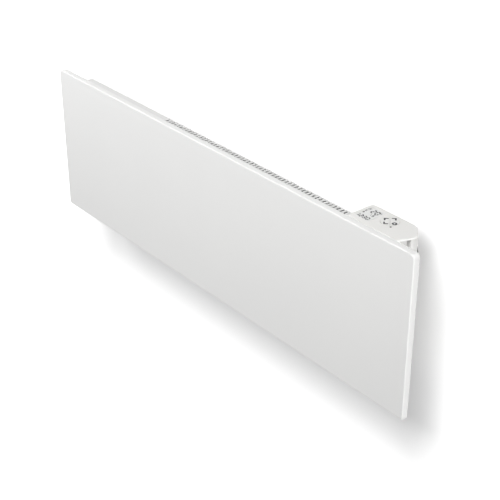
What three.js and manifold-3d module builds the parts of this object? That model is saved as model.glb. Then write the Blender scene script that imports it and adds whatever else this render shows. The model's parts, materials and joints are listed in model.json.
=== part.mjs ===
// Low wall panel convector heater on its wall bracket.
//
// A folded steel front panel carries two rails. The heat shield and the rear casing are screwed to the
// rails and enclose a finned heating element; air enters through slots underneath and leaves through
// slots on top. A moulded control unit stands at the right-hand end. The heater hangs on two hooks of
// a wall bracket, and two quarter-turn latches keep its lower edge from being pulled off.
//
// Millimetres. +X to the right as seen from the room, +Y towards the wall, +Z up.
// The origin is on the wall, at the middle of the bracket.

import * as THREE from "three";
import { mergeGeometries, mergeVertices } from "three/addons/utils/BufferGeometryUtils.js";
import Module from "manifold-3d";

const wasm = await Module();
wasm.setup();

// ---------------------------------------------------------------- driving dimensions

const cutOver = 1; // how far a cut starts outside what it cuts
const seat = 0.3; // clearance between pieces that touch
const wallToFront = 80; // wall to the front of the panel

const panelWidth = 716.6;
const panelHeight = 220;
const panelEdge = 9; // depth of the folded edge
const panelSheet = 1.5;
const panelCorner = 6; // radius of the two upper corners seen from the front
const panelFoot = 2; // radius of the two lower corners
const panelRound = 1.5; // radius from the front onto the edge

const railSheet = 1;
const railFlange = 10; // rear flange, which takes the screws
const railBond = 15; // front flange, welded to the panel
const railEndInset = 18; // from the panel's side edge to the rail's end

const shieldSheet = 0.6;
const shieldInset = 2; // from the casing's ends

const casingSheet = 1;
const casingDrop = 15; // panel's top edge down to the casing's top
const casingInset = 29.3; // panel's left edge to the casing's left end
const casingStandoff = 40; // wall to the casing's rear
const casingFlange = 9;
const casingBend = 4;
const endFlange = 5; // turned-in flange of the end plates

const slotPitch = 6.16;
const slotWidth = 3;
const slotCount = 60;
const slotEndGap = 9.06; // last slot to the casing's right end
const slotFrontMargin = 2.4;
const slotRearMargin = 4;
const slotRoundSteps = 3;
const inletWidth = 4; // inlet slots underneath

const controlLength = 87; // left side to the end of the right side
const endGap = 2; // casing's right end to the control unit
const controlFrontGap = 1.5; // behind the panel's rear edge
const controlRear = 27; // wall to the control unit's rear
const controlDrop = 1; // panel's top edge down to the control unit's top
const controlWall = 1.8;
const controlNose = 8; // how far the slanting side runs to the right
const controlSlant = 19.5; // depth of the slanting side
const controlFlank = 7; // depth of the side that faces right
const controlChamferX = 14.5; // chamfered rear corner, which holds the switch
const controlChamferY = 14;
const controlTailX = 6.5; // blunt end of the chamfer
const controlRound = 5; // rear left corner
const controlRecess = 6; // side set back under the cap
const controlRecessDepth = 16.5;
const capPlate = 2.5;
const capRound = 1.2;
const capLip = 5;
const capLipWall = 1.2;

const padInset = 42.8; // control unit's left side to the centre of the keys
const padForward = 15.6; // control unit's rear to the centre of the keys
const padRadius = 11.2;
const keyTravel = 0.6; // free travel down to the mat's domes
const keyReach = 7.5; // centre of the four keys to each dome
const keyFlange = 0.8;
const keyGap = 0.2; // half of the gap between two keys
const keyHeight = 4.6;
const keyProud = 0.2;

const displayInset = 16.2;
const displayForward = 20;
const displayWidth = 22.4;
const displayLength = 28;
const displayLedge = 1.2;

const ledRight = 10.1; // from the centre of the keys
const ledForward = 9.2;
const ledRadius = 1.1;

const boardSheet = 1.6;
const cardDrop = 7.5; // cap's underside down to the top of the key board
const matBase = 1;
const domeRadius = 3;
const domeSink = 0.01; // dome let into the mat so that the two join

const powerWidth = 54;
const powerHeight = 120;
const powerRise = 33.2; // floor of the control unit to the power board
const powerInset = 6;
const relayAcross = 14; // board's left edge to the relay's middle
const relayDrop = 40; // board's top edge to the relay's middle
const transformerAcross = 36;
const transformerDrop = 24;
const capacitorDrop = 58;
const boardRib = 2;

const switchDrop = 32; // control unit's top to the switch's middle
const switchWidth = 12.4;
const switchHeight = 18.6;
const switchDepth = 14;
const bezelWidth = 15;
const bezelHeight = 21.4;
const bezelDepth = 1.2;
const rockerWidth = 9.6;
const rockerHeight = 15.8;
const rockerTilt = 7; // degrees either side of the middle
const rockerPivot = 2; // below the bezel's face
const rockerProud = 1.1; // ends of the level rocker above the bezel's face
const spadeWidth = 4.8;
const spadeSheet = 0.8;
const spadeLength = 7;

const elementOverhang = 7.5; // element's left end beyond the first slot
const elementRightGap = 34; // element's right end to the casing's right end
const elementRise = 65; // casing's bottom to the element's axis
const elementHalfDepth = 10.5;
const elementHalfHeight = 26;
const elementCore = 6;
const elementFin = 1.6;
const rodRadius = 4.5;
const rodReach = 18;
const pinRadius = 2;
const pinReach = 8;
const rodShort = 9; // the rod's right-hand end is shorter
const pinShort = 5;
const bracketSheet = 1;
const bracketTop = 40; // above the element's axis
const bracketLow = 34; // below it
const bracketFoot = 12;
const bushRadius = 8;
const bushFlange = 11;
const bushFlangeWidth = 3;

const cutoutFromEnd = 96; // element's right end to the cut-out
const cutoutRise = 80; // above the element's axis
const cutoutRadius = 8;
const cutoutHeight = 7;

const wireRadius = 1.2;
const wireBundle = 2; // offset of each wire from the bush's centre
const bushFromRear = 16; // casing's rear to the bush's centre
const bushRise = 23; // casing's bottom to the bush's centre
const bushBore = 5;
const bushWall = 1.7;
const bushLip = 2;

const earthFromRear = 22;
const earthRise = 9;
const earthScrewLength = 2.5;

const terminalInset = 4;
const terminalPitch = 9;
const terminalPoles = 4;
const terminalHeight = 14;
const terminalDepth = 12;

const glandInset = 48;
const glandForward = 13;
const glandBore = 4;
const glandNeck = 6;
const glandFlange = 9;
const glandFlangeHeight = 2;
const glandNut = 8;
const glandNutHeight = 2.5;
const clampHeight = 8;
const clampSheet = 2;
const clampReach = 14;
const clampAboveFloor = 12;

const sensorInset = 12;
const sensorBack = 7.5;
const sensorRadius = 2;
const sensorBelow = 5;
const sensorAbove = 8;

const uprightX = 170; // outer face of each upright
const uprightSheet = 2;
const uprightWeb = 30;
const uprightLip = 14;
const uprightOverHook = 8; // upright's top above the hook
const uprightBelowLatch = 13;
const uprightFrontGap = 2; // lip to the casing's rear
const fixingRadius = 2.75;
const fixingZ = 38;
const crossHeight = 40;
const crossSheet = 1.5;
const crossLap = 12;

const liftTravel = 14;
const hookDrop = 51; // casing's top to the roof of its hook slots
const hookNeck = 6;
const hookTip = 10;
const hookTipDepth = 4;
const hookSide = 0.6; // clearance beside the hook

const padSheet = 1.4;
const padHeight = 24;
const padAboveLatch = 13;

const latchInset = 24; // latch pivot inside the upright's outer face
const latchRise = 20; // casing's bottom to the latch pivots
const latchNeck = 3.6;
const latchCollar = 5.5;
const latchCollarHeight = 1.5;
const latchBoss = 6;
const latchTongue = 16;
const latchTongueWidth = 8;
const latchTongueSheet = 3;

const screwHead = 3.6;
const screwHeadHeight = 2.2;
const screwShank = 1.8;
const screwLength = 7;
const screwHole = 2.2;
const screwInsetLeft = 39; // from the casing's ends
const screwInsetRight = 25;

// ---------------------------------------------------------------- places worked out from them

const frontY = -wallToFront;
const panelBackY = frontY + panelEdge;
const panelInnerY = frontY + panelSheet;
const halfPanel = panelWidth / 2;
const topZ = panelHeight / 2;

const railFrontY = panelInnerY + seat;
const shieldFrontY = panelBackY + seat;
const shieldBackY = shieldFrontY + shieldSheet;
const casingFrontY = shieldBackY + seat;
const casingBackY = -casingStandoff;
const casingInnerY = casingBackY - casingSheet;
const casingTopZ = topZ - casingDrop;
const casingInnerZ = casingTopZ - casingSheet;
const controlEnd = halfPanel - casingInset;
const controlLeft = controlEnd - controlLength;
const controlFrontEnd = controlEnd - controlNose;
const casingLeftX = -halfPanel + casingInset;
const casingRightX = controlLeft - endGap;
const flangeTopZ = casingTopZ + casingFlange;

const controlFrontY = panelBackY + controlFrontGap;
const controlBackY = -controlRear;
const controlTopZ = topZ - controlDrop;
const controlBottomZ = -casingTopZ;
const capUnderZ = controlTopZ - capPlate;
const housingTopZ = capUnderZ - seat;
const floorTopZ = controlBottomZ + controlWall;

const cardTopZ = capUnderZ - cardDrop;
const matTopZ = cardTopZ + seat + matBase;
const keyUnderZ = controlTopZ + keyProud - keyHeight;
const domeHeight = keyUnderZ - keyTravel - seat - matTopZ;
const powerBackY = controlBackY - controlWall - boardRib - seat;
const powerFrontY = powerBackY - boardSheet;
const powerLeft = controlLeft + powerInset;
const powerLow = floorTopZ + powerRise;
const powerTop = powerLow + powerHeight;

const padX = controlLeft + padInset;
const padY = controlBackY - padForward;
const displayX = controlLeft + displayInset;
const displayY = controlBackY - displayForward;
const ledX = padX + ledRight;
const ledY = padY - ledForward;
const switchZ = controlTopZ - switchDrop;
const terminalLeft = powerLeft + terminalInset;
const glandX = controlLeft + glandInset;
const glandY = controlBackY - glandForward;
const sensorX = controlLeft + sensorInset;
const sensorY = controlFrontY + sensorBack;

const slotLast = casingRightX - slotEndGap;
const slotFirst = slotLast - slotPitch * (slotCount - 1);
const elementY = (shieldBackY + casingInnerY) / 2;
const elementZ = -casingTopZ + elementRise;
const elementLeft = slotFirst - elementOverhang;
const elementRight = casingRightX - elementRightGap;
const cutoutX = elementRight - cutoutFromEnd;
const cutoutZ = elementZ + cutoutRise;
const bushY = casingBackY - bushFromRear;
const bushZ = -casingTopZ + bushRise;
const earthY = casingBackY - earthFromRear;
const earthZ = -casingTopZ + earthRise;
const slotFrontY = casingFrontY + casingSheet + slotFrontMargin;
const slotRearY = casingBackY - slotRearMargin;

const lipFrontY = casingBackY + uprightFrontGap;
const lipBackY = lipFrontY + uprightSheet;
const latchX = uprightX - latchInset;
const latchZ = -casingTopZ + latchRise;
const hookZ = casingTopZ - hookDrop;
const uprightTop = hookZ + uprightOverHook;
const uprightBottom = latchZ - uprightBelowLatch;
const padLowZ = latchZ + padAboveLatch;
const screwZ = casingTopZ + casingFlange / 2;
const screwLeft = casingLeftX + screwInsetLeft;
const screwRight = casingRightX - screwInsetRight;
const screwSpread = [screwLeft, (screwLeft + screwRight) / 2, screwRight];

// ---------------------------------------------------------------- solids

const loose = (geometry) => (geometry.index ? geometry.toNonIndexed() : geometry);

// A geometry as a closed solid that can be joined and cut.
function solid(geometry) {
  const bare = new THREE.BufferGeometry();
  bare.setAttribute("position", loose(geometry).getAttribute("position").clone());
  const merged = mergeVertices(bare, 1e-4);
  return new wasm.Manifold(new wasm.Mesh({
    numProp: 3,
    vertProperties: new Float32Array(merged.getAttribute("position").array),
    triVerts: new Uint32Array(merged.index.array),
  }));
}

// The solid's surface as a geometry.
function surface(shape) {
  const mesh = shape.getMesh();
  const geometry = new THREE.BufferGeometry();
  geometry.setAttribute("position", new THREE.BufferAttribute(new Float32Array(mesh.vertProperties), 3));
  geometry.setIndex(new THREE.BufferAttribute(new Uint32Array(mesh.triVerts), 1));
  return geometry;
}

const joined = (...shapes) => shapes.reduce((sum, next) => sum.add(next));
const cut = (shape, ...holes) => holes.reduce((rest, hole) => rest.subtract(hole), shape);

// Several separate cutters as one.
const together = (geometries) => solid(mergeGeometries(geometries.map(loose)));

function box(x0, x1, y0, y1, z0, z1) {
  const geometry = new THREE.BoxGeometry(x1 - x0, y1 - y0, z1 - z0);
  return geometry.translate((x0 + x1) / 2, (y0 + y1) / 2, (z0 + z1) / 2);
}

function outline(points) {
  return new THREE.Shape(points.map(([x, y]) => new THREE.Vector2(x, y)));
}

// Points of an arc, both ends included.
function arc(x, y, radius, fromDegrees, toDegrees, steps) {
  const points = [];
  for (let i = 0; i <= steps; i += 1) {
    const angle = THREE.MathUtils.degToRad(fromDegrees + ((toDegrees - fromDegrees) * i) / steps);
    points.push([x + radius * Math.cos(angle), y + radius * Math.sin(angle)]);
  }
  return points;
}

const raised = (shape, depth) => new THREE.ExtrudeGeometry(shape, { depth, bevelEnabled: false });

// An outline drawn in X and Y, raised from one height to another.
const alongZ = (points, z0, z1) => raised(outline(points), z1 - z0).translate(0, 0, z0);

// An outline drawn in Y and Z, run along X.
function alongX(points, x0, x1) {
  const turn = new THREE.Matrix4().makeBasis(
    new THREE.Vector3(0, 1, 0),
    new THREE.Vector3(0, 0, 1),
    new THREE.Vector3(1, 0, 0),
  );
  return raised(outline(points), x1 - x0).applyMatrix4(turn).translate(x0, 0, 0);
}

// An outline drawn in X and Z, run along Y.
function alongY(points, y0, y1) {
  const turn = new THREE.Matrix4().makeBasis(
    new THREE.Vector3(1, 0, 0),
    new THREE.Vector3(0, 0, 1),
    new THREE.Vector3(0, -1, 0),
  );
  return raised(outline(points), y1 - y0).applyMatrix4(turn).translate(0, y1, 0);
}

function cylinderZ(x, y, radius, z0, z1, sides = 20) {
  return new THREE.CylinderGeometry(radius, radius, z1 - z0, sides)
    .rotateX(Math.PI / 2)
    .translate(x, y, (z0 + z1) / 2);
}

function cylinderY(x, z, radius, y0, y1, sides = 20) {
  return new THREE.CylinderGeometry(radius, radius, y1 - y0, sides).translate(x, (y0 + y1) / 2, z);
}

function cylinderX(y, z, radius, x0, x1, sides = 20) {
  return new THREE.CylinderGeometry(radius, radius, x1 - x0, sides)
    .rotateZ(Math.PI / 2)
    .translate((x0 + x1) / 2, y, z);
}

// A turned piece whose profile is a closed list of [radius, height]; it stands along Z.
function turned(profile, sides = 24) {
  const points = [...profile, profile[0]].map(([r, z]) => new THREE.Vector2(r, z));
  return new THREE.LatheGeometry(points, sides).rotateX(Math.PI / 2);
}

// Each edge of a closed outline moved inwards by the same distance.
function inset(points, distance) {
  const area = points.reduce((sum, [x, y], i) => {
    const [nx, ny] = points[(i + 1) % points.length];
    return sum + x * ny - nx * y;
  }, 0);
  const side = Math.sign(area) * distance;
  const edges = points.map(([x, y], i) => {
    const [nx, ny] = points[(i + 1) % points.length];
    const length = Math.hypot(nx - x, ny - y);
    const [dx, dy] = [(nx - x) / length, (ny - y) / length];
    return { x: x - dy * side, y: y + dx * side, dx, dy };
  });
  return edges.map((edge, i) => {
    const last = edges[(i + edges.length - 1) % edges.length];
    const cross = last.dx * edge.dy - last.dy * edge.dx;
    const along = ((edge.x - last.x) * edge.dy - (edge.y - last.y) * edge.dx) / cross;
    return [last.x + last.dx * along, last.y + last.dy * along];
  });
}

// The two lower corners may have a radius of their own.
function roundedRectangle(x0, x1, y0, y1, radius, steps, foot = radius) {
  return [
    ...arc(x1 - radius, y1 - radius, radius, 0, 90, steps),
    ...arc(x0 + radius, y1 - radius, radius, 90, 180, steps),
    ...arc(x0 + foot, y0 + foot, foot, 180, 270, steps),
    ...arc(x1 - foot, y0 + foot, foot, 270, 360, steps),
  ];
}

// A plate raised along Z with its upper edge rounded.
function roundedPlate(points, depth, radius, steps) {
  const whole = new THREE.ExtrudeGeometry(outline(points), {
    depth,
    bevelThickness: radius,
    bevelSize: radius,
    bevelOffset: -radius,
    bevelSegments: steps,
    curveSegments: 1,
  }).translate(0, 0, -radius);
  whole.computeBoundingBox();
  const { min, max } = whole.boundingBox;
  return cut(solid(whole), solid(box(min.x - 1, max.x + 1, min.y - 1, max.y + 1, -2 * radius - 1, 0)));
}

// An insulated wire along a smooth curve.
function wire(points, radius = wireRadius, steps = 26) {
  const path = new THREE.CatmullRomCurve3(points.map(([x, y, z]) => new THREE.Vector3(x, y, z)));
  const section = outline(arc(0, 0, radius, 0, 360 - 60, 5));
  return new THREE.ExtrudeGeometry(section, { steps, bevelEnabled: false, extrudePath: path });
}

// ---------------------------------------------------------------- materials

const finish = (color, roughness, metalness = 0) =>
  new THREE.MeshStandardMaterial({ color, roughness, metalness });

const powderCoat = finish("#ececea", 0.55, 0.1);
const casingCoat = finish("#e6e6e3", 0.6, 0.1);
const zincSheet = finish("#b9bec2", 0.4, 0.9);
const aluminium = finish("#c3c6c8", 0.35, 0.95);
const moulding = finish("#e5e4e1", 0.45);
const lensPlastic = finish("#dfe0de", 0.2);
const keyPlastic = finish("#e4e3e0", 0.4);
const darkPlastic = finish("#1d1e20", 0.4);
const ceramic = finish("#e8e2d4", 0.7);
const rubber = finish("#3a3b3d", 0.85);
const circuitBoard = finish("#2f6b45", 0.5);
const relayCase = finish("#2c5b94", 0.4);
const copperWinding = finish("#a8632f", 0.45, 0.6);
const steelPin = finish("#c9ccd0", 0.3, 1);
const earthSleeve = finish("#8fae3a", 0.5);
const liveSleeve = finish("#7a4a2b", 0.5);
const neutralSleeve = finish("#3a63a8", 0.5);

const heater = new THREE.Group();

function add(name, geometry, material, parent = heater) {
  const mesh = new THREE.Mesh(geometry, material);
  mesh.name = name;
  parent.add(mesh);
  return mesh;
}

// ---------------------------------------------------------------- front panel and its rails

function frontPanel() {
  const edge = roundedRectangle(-halfPanel, halfPanel, -topZ, topZ, panelCorner, 5, panelFoot);
  const upright = new THREE.Matrix4().makeBasis(
    new THREE.Vector3(1, 0, 0),
    new THREE.Vector3(0, 0, 1),
    new THREE.Vector3(0, -1, 0),
  );
  const tray = surface(roundedPlate(edge, panelEdge, panelRound, 4)).applyMatrix4(upright);
  tray.translate(0, panelBackY, 0);
  const pocket = alongY(inset(edge, panelSheet), panelInnerY, panelBackY + 1);
  return surface(cut(solid(tray), solid(pocket)));
}

// Z-section: the front flange is welded to the panel, the rear flange takes the screws.
function panelRail(side) {
  const webZ = casingTopZ;
  const section = [
    [railFrontY, webZ + railSheet],
    [railFrontY, webZ - railBond],
    [railFrontY + railSheet, webZ - railBond],
    [railFrontY + railSheet, webZ],
    [panelBackY, webZ],
    [panelBackY, webZ + railFlange],
    [panelBackY - railSheet, webZ + railFlange],
    [panelBackY - railSheet, webZ + railSheet],
  ].map(([y, z]) => [y, z * side]);
  const half = halfPanel - railEndInset;
  const [holeFront, holeBack] = [panelBackY - railSheet - cutOver, panelBackY + cutOver];
  const holes = screwSpread.map((x) => cylinderY(x, screwZ * side, screwHole, holeFront, holeBack, 12));
  return surface(cut(solid(alongX(side > 0 ? section : section.reverse(), -half, half)), together(holes)));
}

function heatShield() {
  const [left, right] = [casingLeftX + shieldInset, casingRightX - shieldInset];
  const sheet = solid(box(left, right, shieldFrontY, shieldBackY, -flangeTopZ, flangeTopZ));
  const holes = [1, -1].flatMap((side) => screwSpread.map((x) => (
    cylinderY(x, screwZ * side, screwHole, shieldFrontY - cutOver, shieldBackY + cutOver, 12))));
  return surface(cut(sheet, together(holes)));
}

// ---------------------------------------------------------------- rear casing

// The casing's section in Y and Z: top, rear and bottom walls of one bent sheet.
function channel(front, back, half, sheet, bend) {
  const outerTop = arc(back - bend, half - bend, bend, 90, 0, 4);
  const innerTop = arc(back - bend, half - bend, bend - sheet, 0, 90, 4);
  const flip = (points) => points.map(([y, z]) => [y, -z]).reverse();
  return [
    [front, half],
    ...outerTop,
    ...flip(outerTop),
    [front, -half],
    [front, -half + sheet],
    ...flip(innerTop),
    ...innerTop,
    [front, half - sheet],
  ].reverse();
}

function slot(x, width, y0, y1, z0, z1) {
  const r = width / 2;
  const ends = [
    ...arc(x, y1 - r, r, 0, 180, slotRoundSteps),
    ...arc(x, y0 + r, r, 180, 360, slotRoundSteps),
  ];
  return alongZ(ends, z0, z1);
}

function rearCasing() {
  const left = casingLeftX + casingSheet + seat;
  const right = casingRightX - casingSheet - seat;
  const profile = channel(casingFrontY, casingBackY, casingTopZ, casingSheet, casingBend);
  const skin = solid(alongX(profile, left, right));
  const flanges = [1, -1].map((side) => {
    const [low, high] = [casingInnerZ * side, flangeTopZ * side].sort((a, b) => a - b);
    return solid(box(left, right, casingFrontY, casingFrontY + casingSheet, low, high));
  });
  const cutters = [];
  for (let i = 0; i < slotCount; i += 1) {
    const x = slotFirst + i * slotPitch;
    cutters.push(slot(x, slotWidth, slotFrontY, slotRearY, casingInnerZ - 1, casingTopZ + 1));
    if (i % 2 === 1) {
      cutters.push(slot(x, inletWidth, slotFrontY, slotRearY, -casingTopZ - 1, -casingInnerZ + 1));
    }
  }
  for (const side of [1, -1]) {
    const hookX = side * (uprightX - uprightSheet / 2);
    const half = uprightSheet / 2 + hookSide;
    const low = hookZ - seat - hookNeck - liftTravel - seat;
    cutters.push(box(hookX - half, hookX + half, casingInnerY - 1, casingBackY + 1, low, hookZ));
    cutters.push(cylinderY(side * latchX, latchZ, latchNeck + seat, casingInnerY - 1, casingBackY + 1));
    for (const x of screwSpread) {
      cutters.push(cylinderY(x, screwZ * side, screwHole, casingFrontY - 1, casingFrontY + 2, 12));
    }
  }
  return surface(cut(joined(skin, ...flanges), together(cutters)));
}

// An end plate with a flange turned into the casing on three sides.
function endPlate(plateX, inward, holes) {
  const step = casingSheet * inward;
  const [low, high] = [plateX, plateX + step].sort((a, b) => a - b);
  const edge = [
    [casingFrontY, -casingTopZ],
    ...arc(casingBackY - casingBend, -casingTopZ + casingBend, casingBend, 270, 360, 4),
    ...arc(casingBackY - casingBend, casingTopZ - casingBend, casingBend, 0, 90, 4),
    [casingFrontY, casingTopZ],
  ];
  const fit = casingSheet + seat;
  const lip = channel(casingFrontY, casingBackY - fit, casingTopZ - fit, casingSheet, casingBend - fit);
  const [from, to] = [plateX + step / 2, plateX + step + endFlange * inward].sort((a, b) => a - b);
  const whole = joined(solid(alongX(edge, low, high)), solid(alongX(lip, from, to)));
  return surface(cut(whole, ...holes.map(solid)));
}

// ---------------------------------------------------------------- heating element

// Aluminium diffuser of X section on a sheathed rod with a terminal pin at each end.
function heatingElement() {
  const section = [];
  const half = elementFin / 2;
  const lean = Math.atan2(elementHalfHeight, elementHalfDepth);
  const reach = Math.hypot(elementHalfDepth, elementHalfHeight) - half;
  for (const angle of [lean, Math.PI - lean, Math.PI + lean, -lean]) {
    const [c, s] = [Math.cos(angle), Math.sin(angle)];
    const place = (along, across) => [
      elementY + along * c - across * s,
      elementZ + along * s + across * c,
    ];
    section.push(place(elementCore, -half * 2));
    for (const share of [0.45, 0.62, 0.79]) {
      section.push(place(reach * share, -half));
      section.push(place(reach * share + half, -half * 3));
      section.push(place(reach * share + half * 2, -half));
    }
    section.push(place(reach, -half), place(reach, half));
    section.push(place(elementCore, half * 2));
  }
  const fins = solid(alongX(section, elementLeft, elementRight));
  const rodRight = elementRight + rodReach - rodShort;
  const rod = solid(cylinderX(elementY, elementZ, rodRadius, elementLeft - rodReach, rodRight, 16));
  const pinLeft = elementLeft - rodReach - pinReach;
  const pin = solid(cylinderX(elementY, elementZ, pinRadius, pinLeft, rodRight + pinShort, 12));
  return surface(joined(fins, rod, pin));
}

// Sheet bracket with a foot on the casing's rear wall.
function elementBracket(x, footSide) {
  const yFront = shieldBackY + seat;
  const yBack = casingInnerY - seat;
  const low = elementZ - bracketLow;
  const high = elementZ + bracketTop;
  const plate = solid(box(x, x + bracketSheet, yFront, yBack, low, high));
  const footX = footSide > 0 ? [x, x + bracketFoot] : [x + bracketSheet - bracketFoot, x + bracketSheet];
  const foot = solid(box(footX[0], footX[1], yBack - bracketSheet, yBack, low, high));
  const hole = solid(cylinderX(elementY, elementZ, bushRadius + seat, x - 1, x + bracketSheet + 1));
  return surface(cut(joined(plate, foot), hole));
}

// Insulating bush between the rod and its bracket.
function elementBush(x, side) {
  const bore = rodRadius + seat;
  const profile = [
    [bore, -bushFlangeWidth],
    [bushFlange, -bushFlangeWidth],
    [bushFlange, 0],
    [bushRadius, 0],
    [bushRadius, bracketSheet + seat * 2 + 1.5],
    [bore, bracketSheet + seat * 2 + 1.5],
  ];
  return turned(profile, 20).rotateY((side * Math.PI) / 2).translate(x, elementY, elementZ);
}

function thermalCutout() {
  const back = casingInnerY - seat;
  const cup = solid(cylinderY(cutoutX, cutoutZ, cutoutRadius, back - cutoutHeight, back, 20));
  const ears = solid(box(cutoutX - 13, cutoutX + 13, back - 1, back, cutoutZ - 4, cutoutZ + 4));
  const tabs = [-1, 1].map((side) => {
    const x = cutoutX + side * 4;
    return solid(box(
      x - spadeWidth / 4, x + spadeWidth / 4,
      back - cutoutHeight + 2, back - cutoutHeight + 2 + spadeSheet,
      cutoutZ - cutoutRadius - spadeLength, cutoutZ - cutoutRadius / 2,
    ));
  });
  return surface(joined(cup, ears, ...tabs));
}

// ---------------------------------------------------------------- control unit

// Plan of the control unit's outside, anticlockwise from the front left corner.
function controlPlan(withRecess) {
  const sideY = controlFrontY + controlSlant;
  const flankY = sideY + controlFlank;
  const chamferX = controlEnd - controlChamferX;
  const chamferY = flankY + controlChamferY;
  const recessY = controlFrontY + controlRecessDepth;
  const slantX = controlFrontEnd
    + ((controlEnd - controlFrontEnd) * controlRecessDepth) / controlSlant;
  const side = withRecess
    ? [
      [controlFrontEnd - controlRecess, controlFrontY],
      [slantX - controlRecess, recessY],
      [slantX, recessY],
    ]
    : [[controlFrontEnd, controlFrontY]];
  return [
    [controlLeft, controlFrontY],
    ...side,
    [controlEnd, sideY],
    [controlEnd, flankY],
    [chamferX, chamferY],
    [chamferX - controlTailX, controlBackY],
    ...arc(controlLeft + controlRound, controlBackY - controlRound, controlRound, 90, 180, 4),
  ];
}

// The switch sits on the chamfer: its middle, and the directions along and out of it.
const chamferStart = new THREE.Vector2(controlEnd, controlFrontY + controlSlant + controlFlank);
const chamferEnd = chamferStart.clone().add(new THREE.Vector2(-controlChamferX, controlChamferY));
const chamferMiddle = chamferStart.clone().add(chamferEnd).multiplyScalar(0.5);
const chamferAlong = chamferEnd.clone().sub(chamferStart).normalize();
const switchPlace = new THREE.Matrix4()
  .makeBasis(
    new THREE.Vector3(chamferAlong.x, chamferAlong.y, 0),
    new THREE.Vector3(0, 0, 1),
    new THREE.Vector3(chamferAlong.y, -chamferAlong.x, 0),
  )
  .setPosition(chamferMiddle.x, chamferMiddle.y, switchZ);

const bushPassage = (x0, x1) => cylinderX(bushY, bushZ, bushBore + bushWall + seat, x0, x1, 24);

function controlHousing() {
  const plan = controlPlan(true);
  const shell = solid(alongZ(plan, controlBottomZ, housingTopZ));
  const room = solid(alongZ(inset(plan, controlWall), floorTopZ, housingTopZ + 1));
  const inBack = controlBackY - controlWall;
  const ribs = [powerLeft + 4, powerLeft + powerWidth - 4].map((x) => (
    solid(box(x - 1, x + 1, inBack - boardRib, inBack + 0.5, powerLow, powerLow + powerHeight))));
  const clampLow = floorTopZ + clampAboveFloor;
  const block = solid(box(
    glandX - clampReach, glandX + clampReach,
    glandY + glandBore - 0.5, inBack + 0.5, clampLow, clampLow + clampHeight,
  ));
  const bosses = [controlLeft + 14, controlFrontEnd - 20].map((x) => (
    solid(cylinderY(x, screwZ, 3.5, panelBackY + seat, controlFrontY + 0.5, 12))));
  const ears = [controlLeft + 14, controlFrontEnd - 20].map((x) => (
    solid(box(x - 7, x + 7, controlFrontY, controlFrontY + controlWall, -flangeTopZ, controlBottomZ + 1))));
  const earPads = [controlLeft + 14, controlFrontEnd - 20].map((x) => (
    solid(cylinderY(x, -screwZ, 3.5, panelBackY + seat, controlFrontY + 0.5, 12))));
  const earHoles = [controlLeft + 14, controlFrontEnd - 20].map((x) => (
    solid(cylinderY(x, -screwZ, screwHole, panelBackY, controlFrontY + 4, 12))));
  const half = [switchWidth / 2 + seat, switchHeight / 2 + seat];
  const window = solid(box(-half[0], half[0], -half[1], half[1], -8, 4).applyMatrix4(switchPlace));
  return surface(cut(
    joined(cut(shell, room), ...ribs, block, ...bosses, ...ears, ...earPads),
    window,
    ...earHoles,
    solid(bushPassage(controlLeft - 1, controlLeft + controlWall + 1)),
    solid(cylinderZ(glandX, glandY, glandNeck + seat, controlBottomZ - 1, floorTopZ + 1, 24)),
    solid(cylinderZ(sensorX, sensorY, sensorRadius + seat, controlBottomZ - 1, floorTopZ + 1, 12)),
  ));
}

function controlCap() {
  const plan = controlPlan(false);
  const plate = surface(roundedPlate(plan, capPlate, capRound, 3)).translate(0, 0, capUnderZ);
  const lipOuter = inset(controlPlan(true), controlWall + seat);
  const lip = cut(
    solid(alongZ(lipOuter, capUnderZ - capLip, capUnderZ + 0.5)),
    solid(alongZ(inset(lipOuter, capLipWall), capUnderZ - capLip - 1, capUnderZ)),
  );
  const opening = solid(box(
    displayX - displayWidth / 2, displayX + displayWidth / 2,
    displayY - displayLength / 2, displayY + displayLength / 2,
    capUnderZ - 1, controlTopZ + 1,
  ));
  const legs = cardCorners().map(([x, y]) => (
    solid(cylinderZ(x, y, 2.2, cardTopZ + seat, capUnderZ + 0.5, 12))));
  return surface(cut(
    joined(solid(plate), lip, ...legs),
    opening,
    solid(cylinderZ(padX, padY, padRadius + seat, capUnderZ - 1, controlTopZ + 1, 40)),
    solid(cylinderZ(ledX, ledY, ledRadius + seat, capUnderZ - 1, controlTopZ + 1, 12)),
  ));
}

// Two corners where the key board hangs on the cap's legs.
function cardCorners() {
  return [[controlLeft + controlWall + 30, controlFrontY + 7], [controlFrontEnd - 12, controlFrontY + 9]];
}

function displayLens() {
  const gap = seat;
  const [w, l] = [displayWidth / 2 - gap, displayLength / 2 - gap];
  const [left, right, front, back] = [displayX - w, displayX + w, displayY - l, displayY + l];
  const top = solid(box(left, right, front, back, capUnderZ - 1, controlTopZ - 0.1));
  const wide = displayLedge;
  const ledge = solid(box(
    displayX - w - wide, displayX + w + wide, displayY - l - wide, displayY + l + wide,
    capUnderZ - gap - 1.2, capUnderZ - gap,
  ));
  return surface(joined(top, ledge));
}

// One quarter of the round key pad, with a flange that stops it under the cap.
function padKey(direction) {
  const quarter = (radius) => {
    const near = keyGap * Math.SQRT2;
    const sweep = THREE.MathUtils.radToDeg(Math.asin(keyGap / radius));
    const points = [[near, 0], ...arc(0, 0, radius, -45 + sweep, 45 - sweep, 8)];
    return points.map(([x, y]) => {
      const [c, s] = [Math.cos(direction), Math.sin(direction)];
      return [padX + x * c - y * s, padY + x * s + y * c];
    });
  };
  const top = controlTopZ + keyProud;
  const stem = solid(alongZ(quarter(padRadius), keyUnderZ, top));
  const flange = solid(alongZ(quarter(padRadius + keyFlange), capUnderZ - seat - 1, capUnderZ - seat));
  return surface(joined(stem, flange));
}

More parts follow.
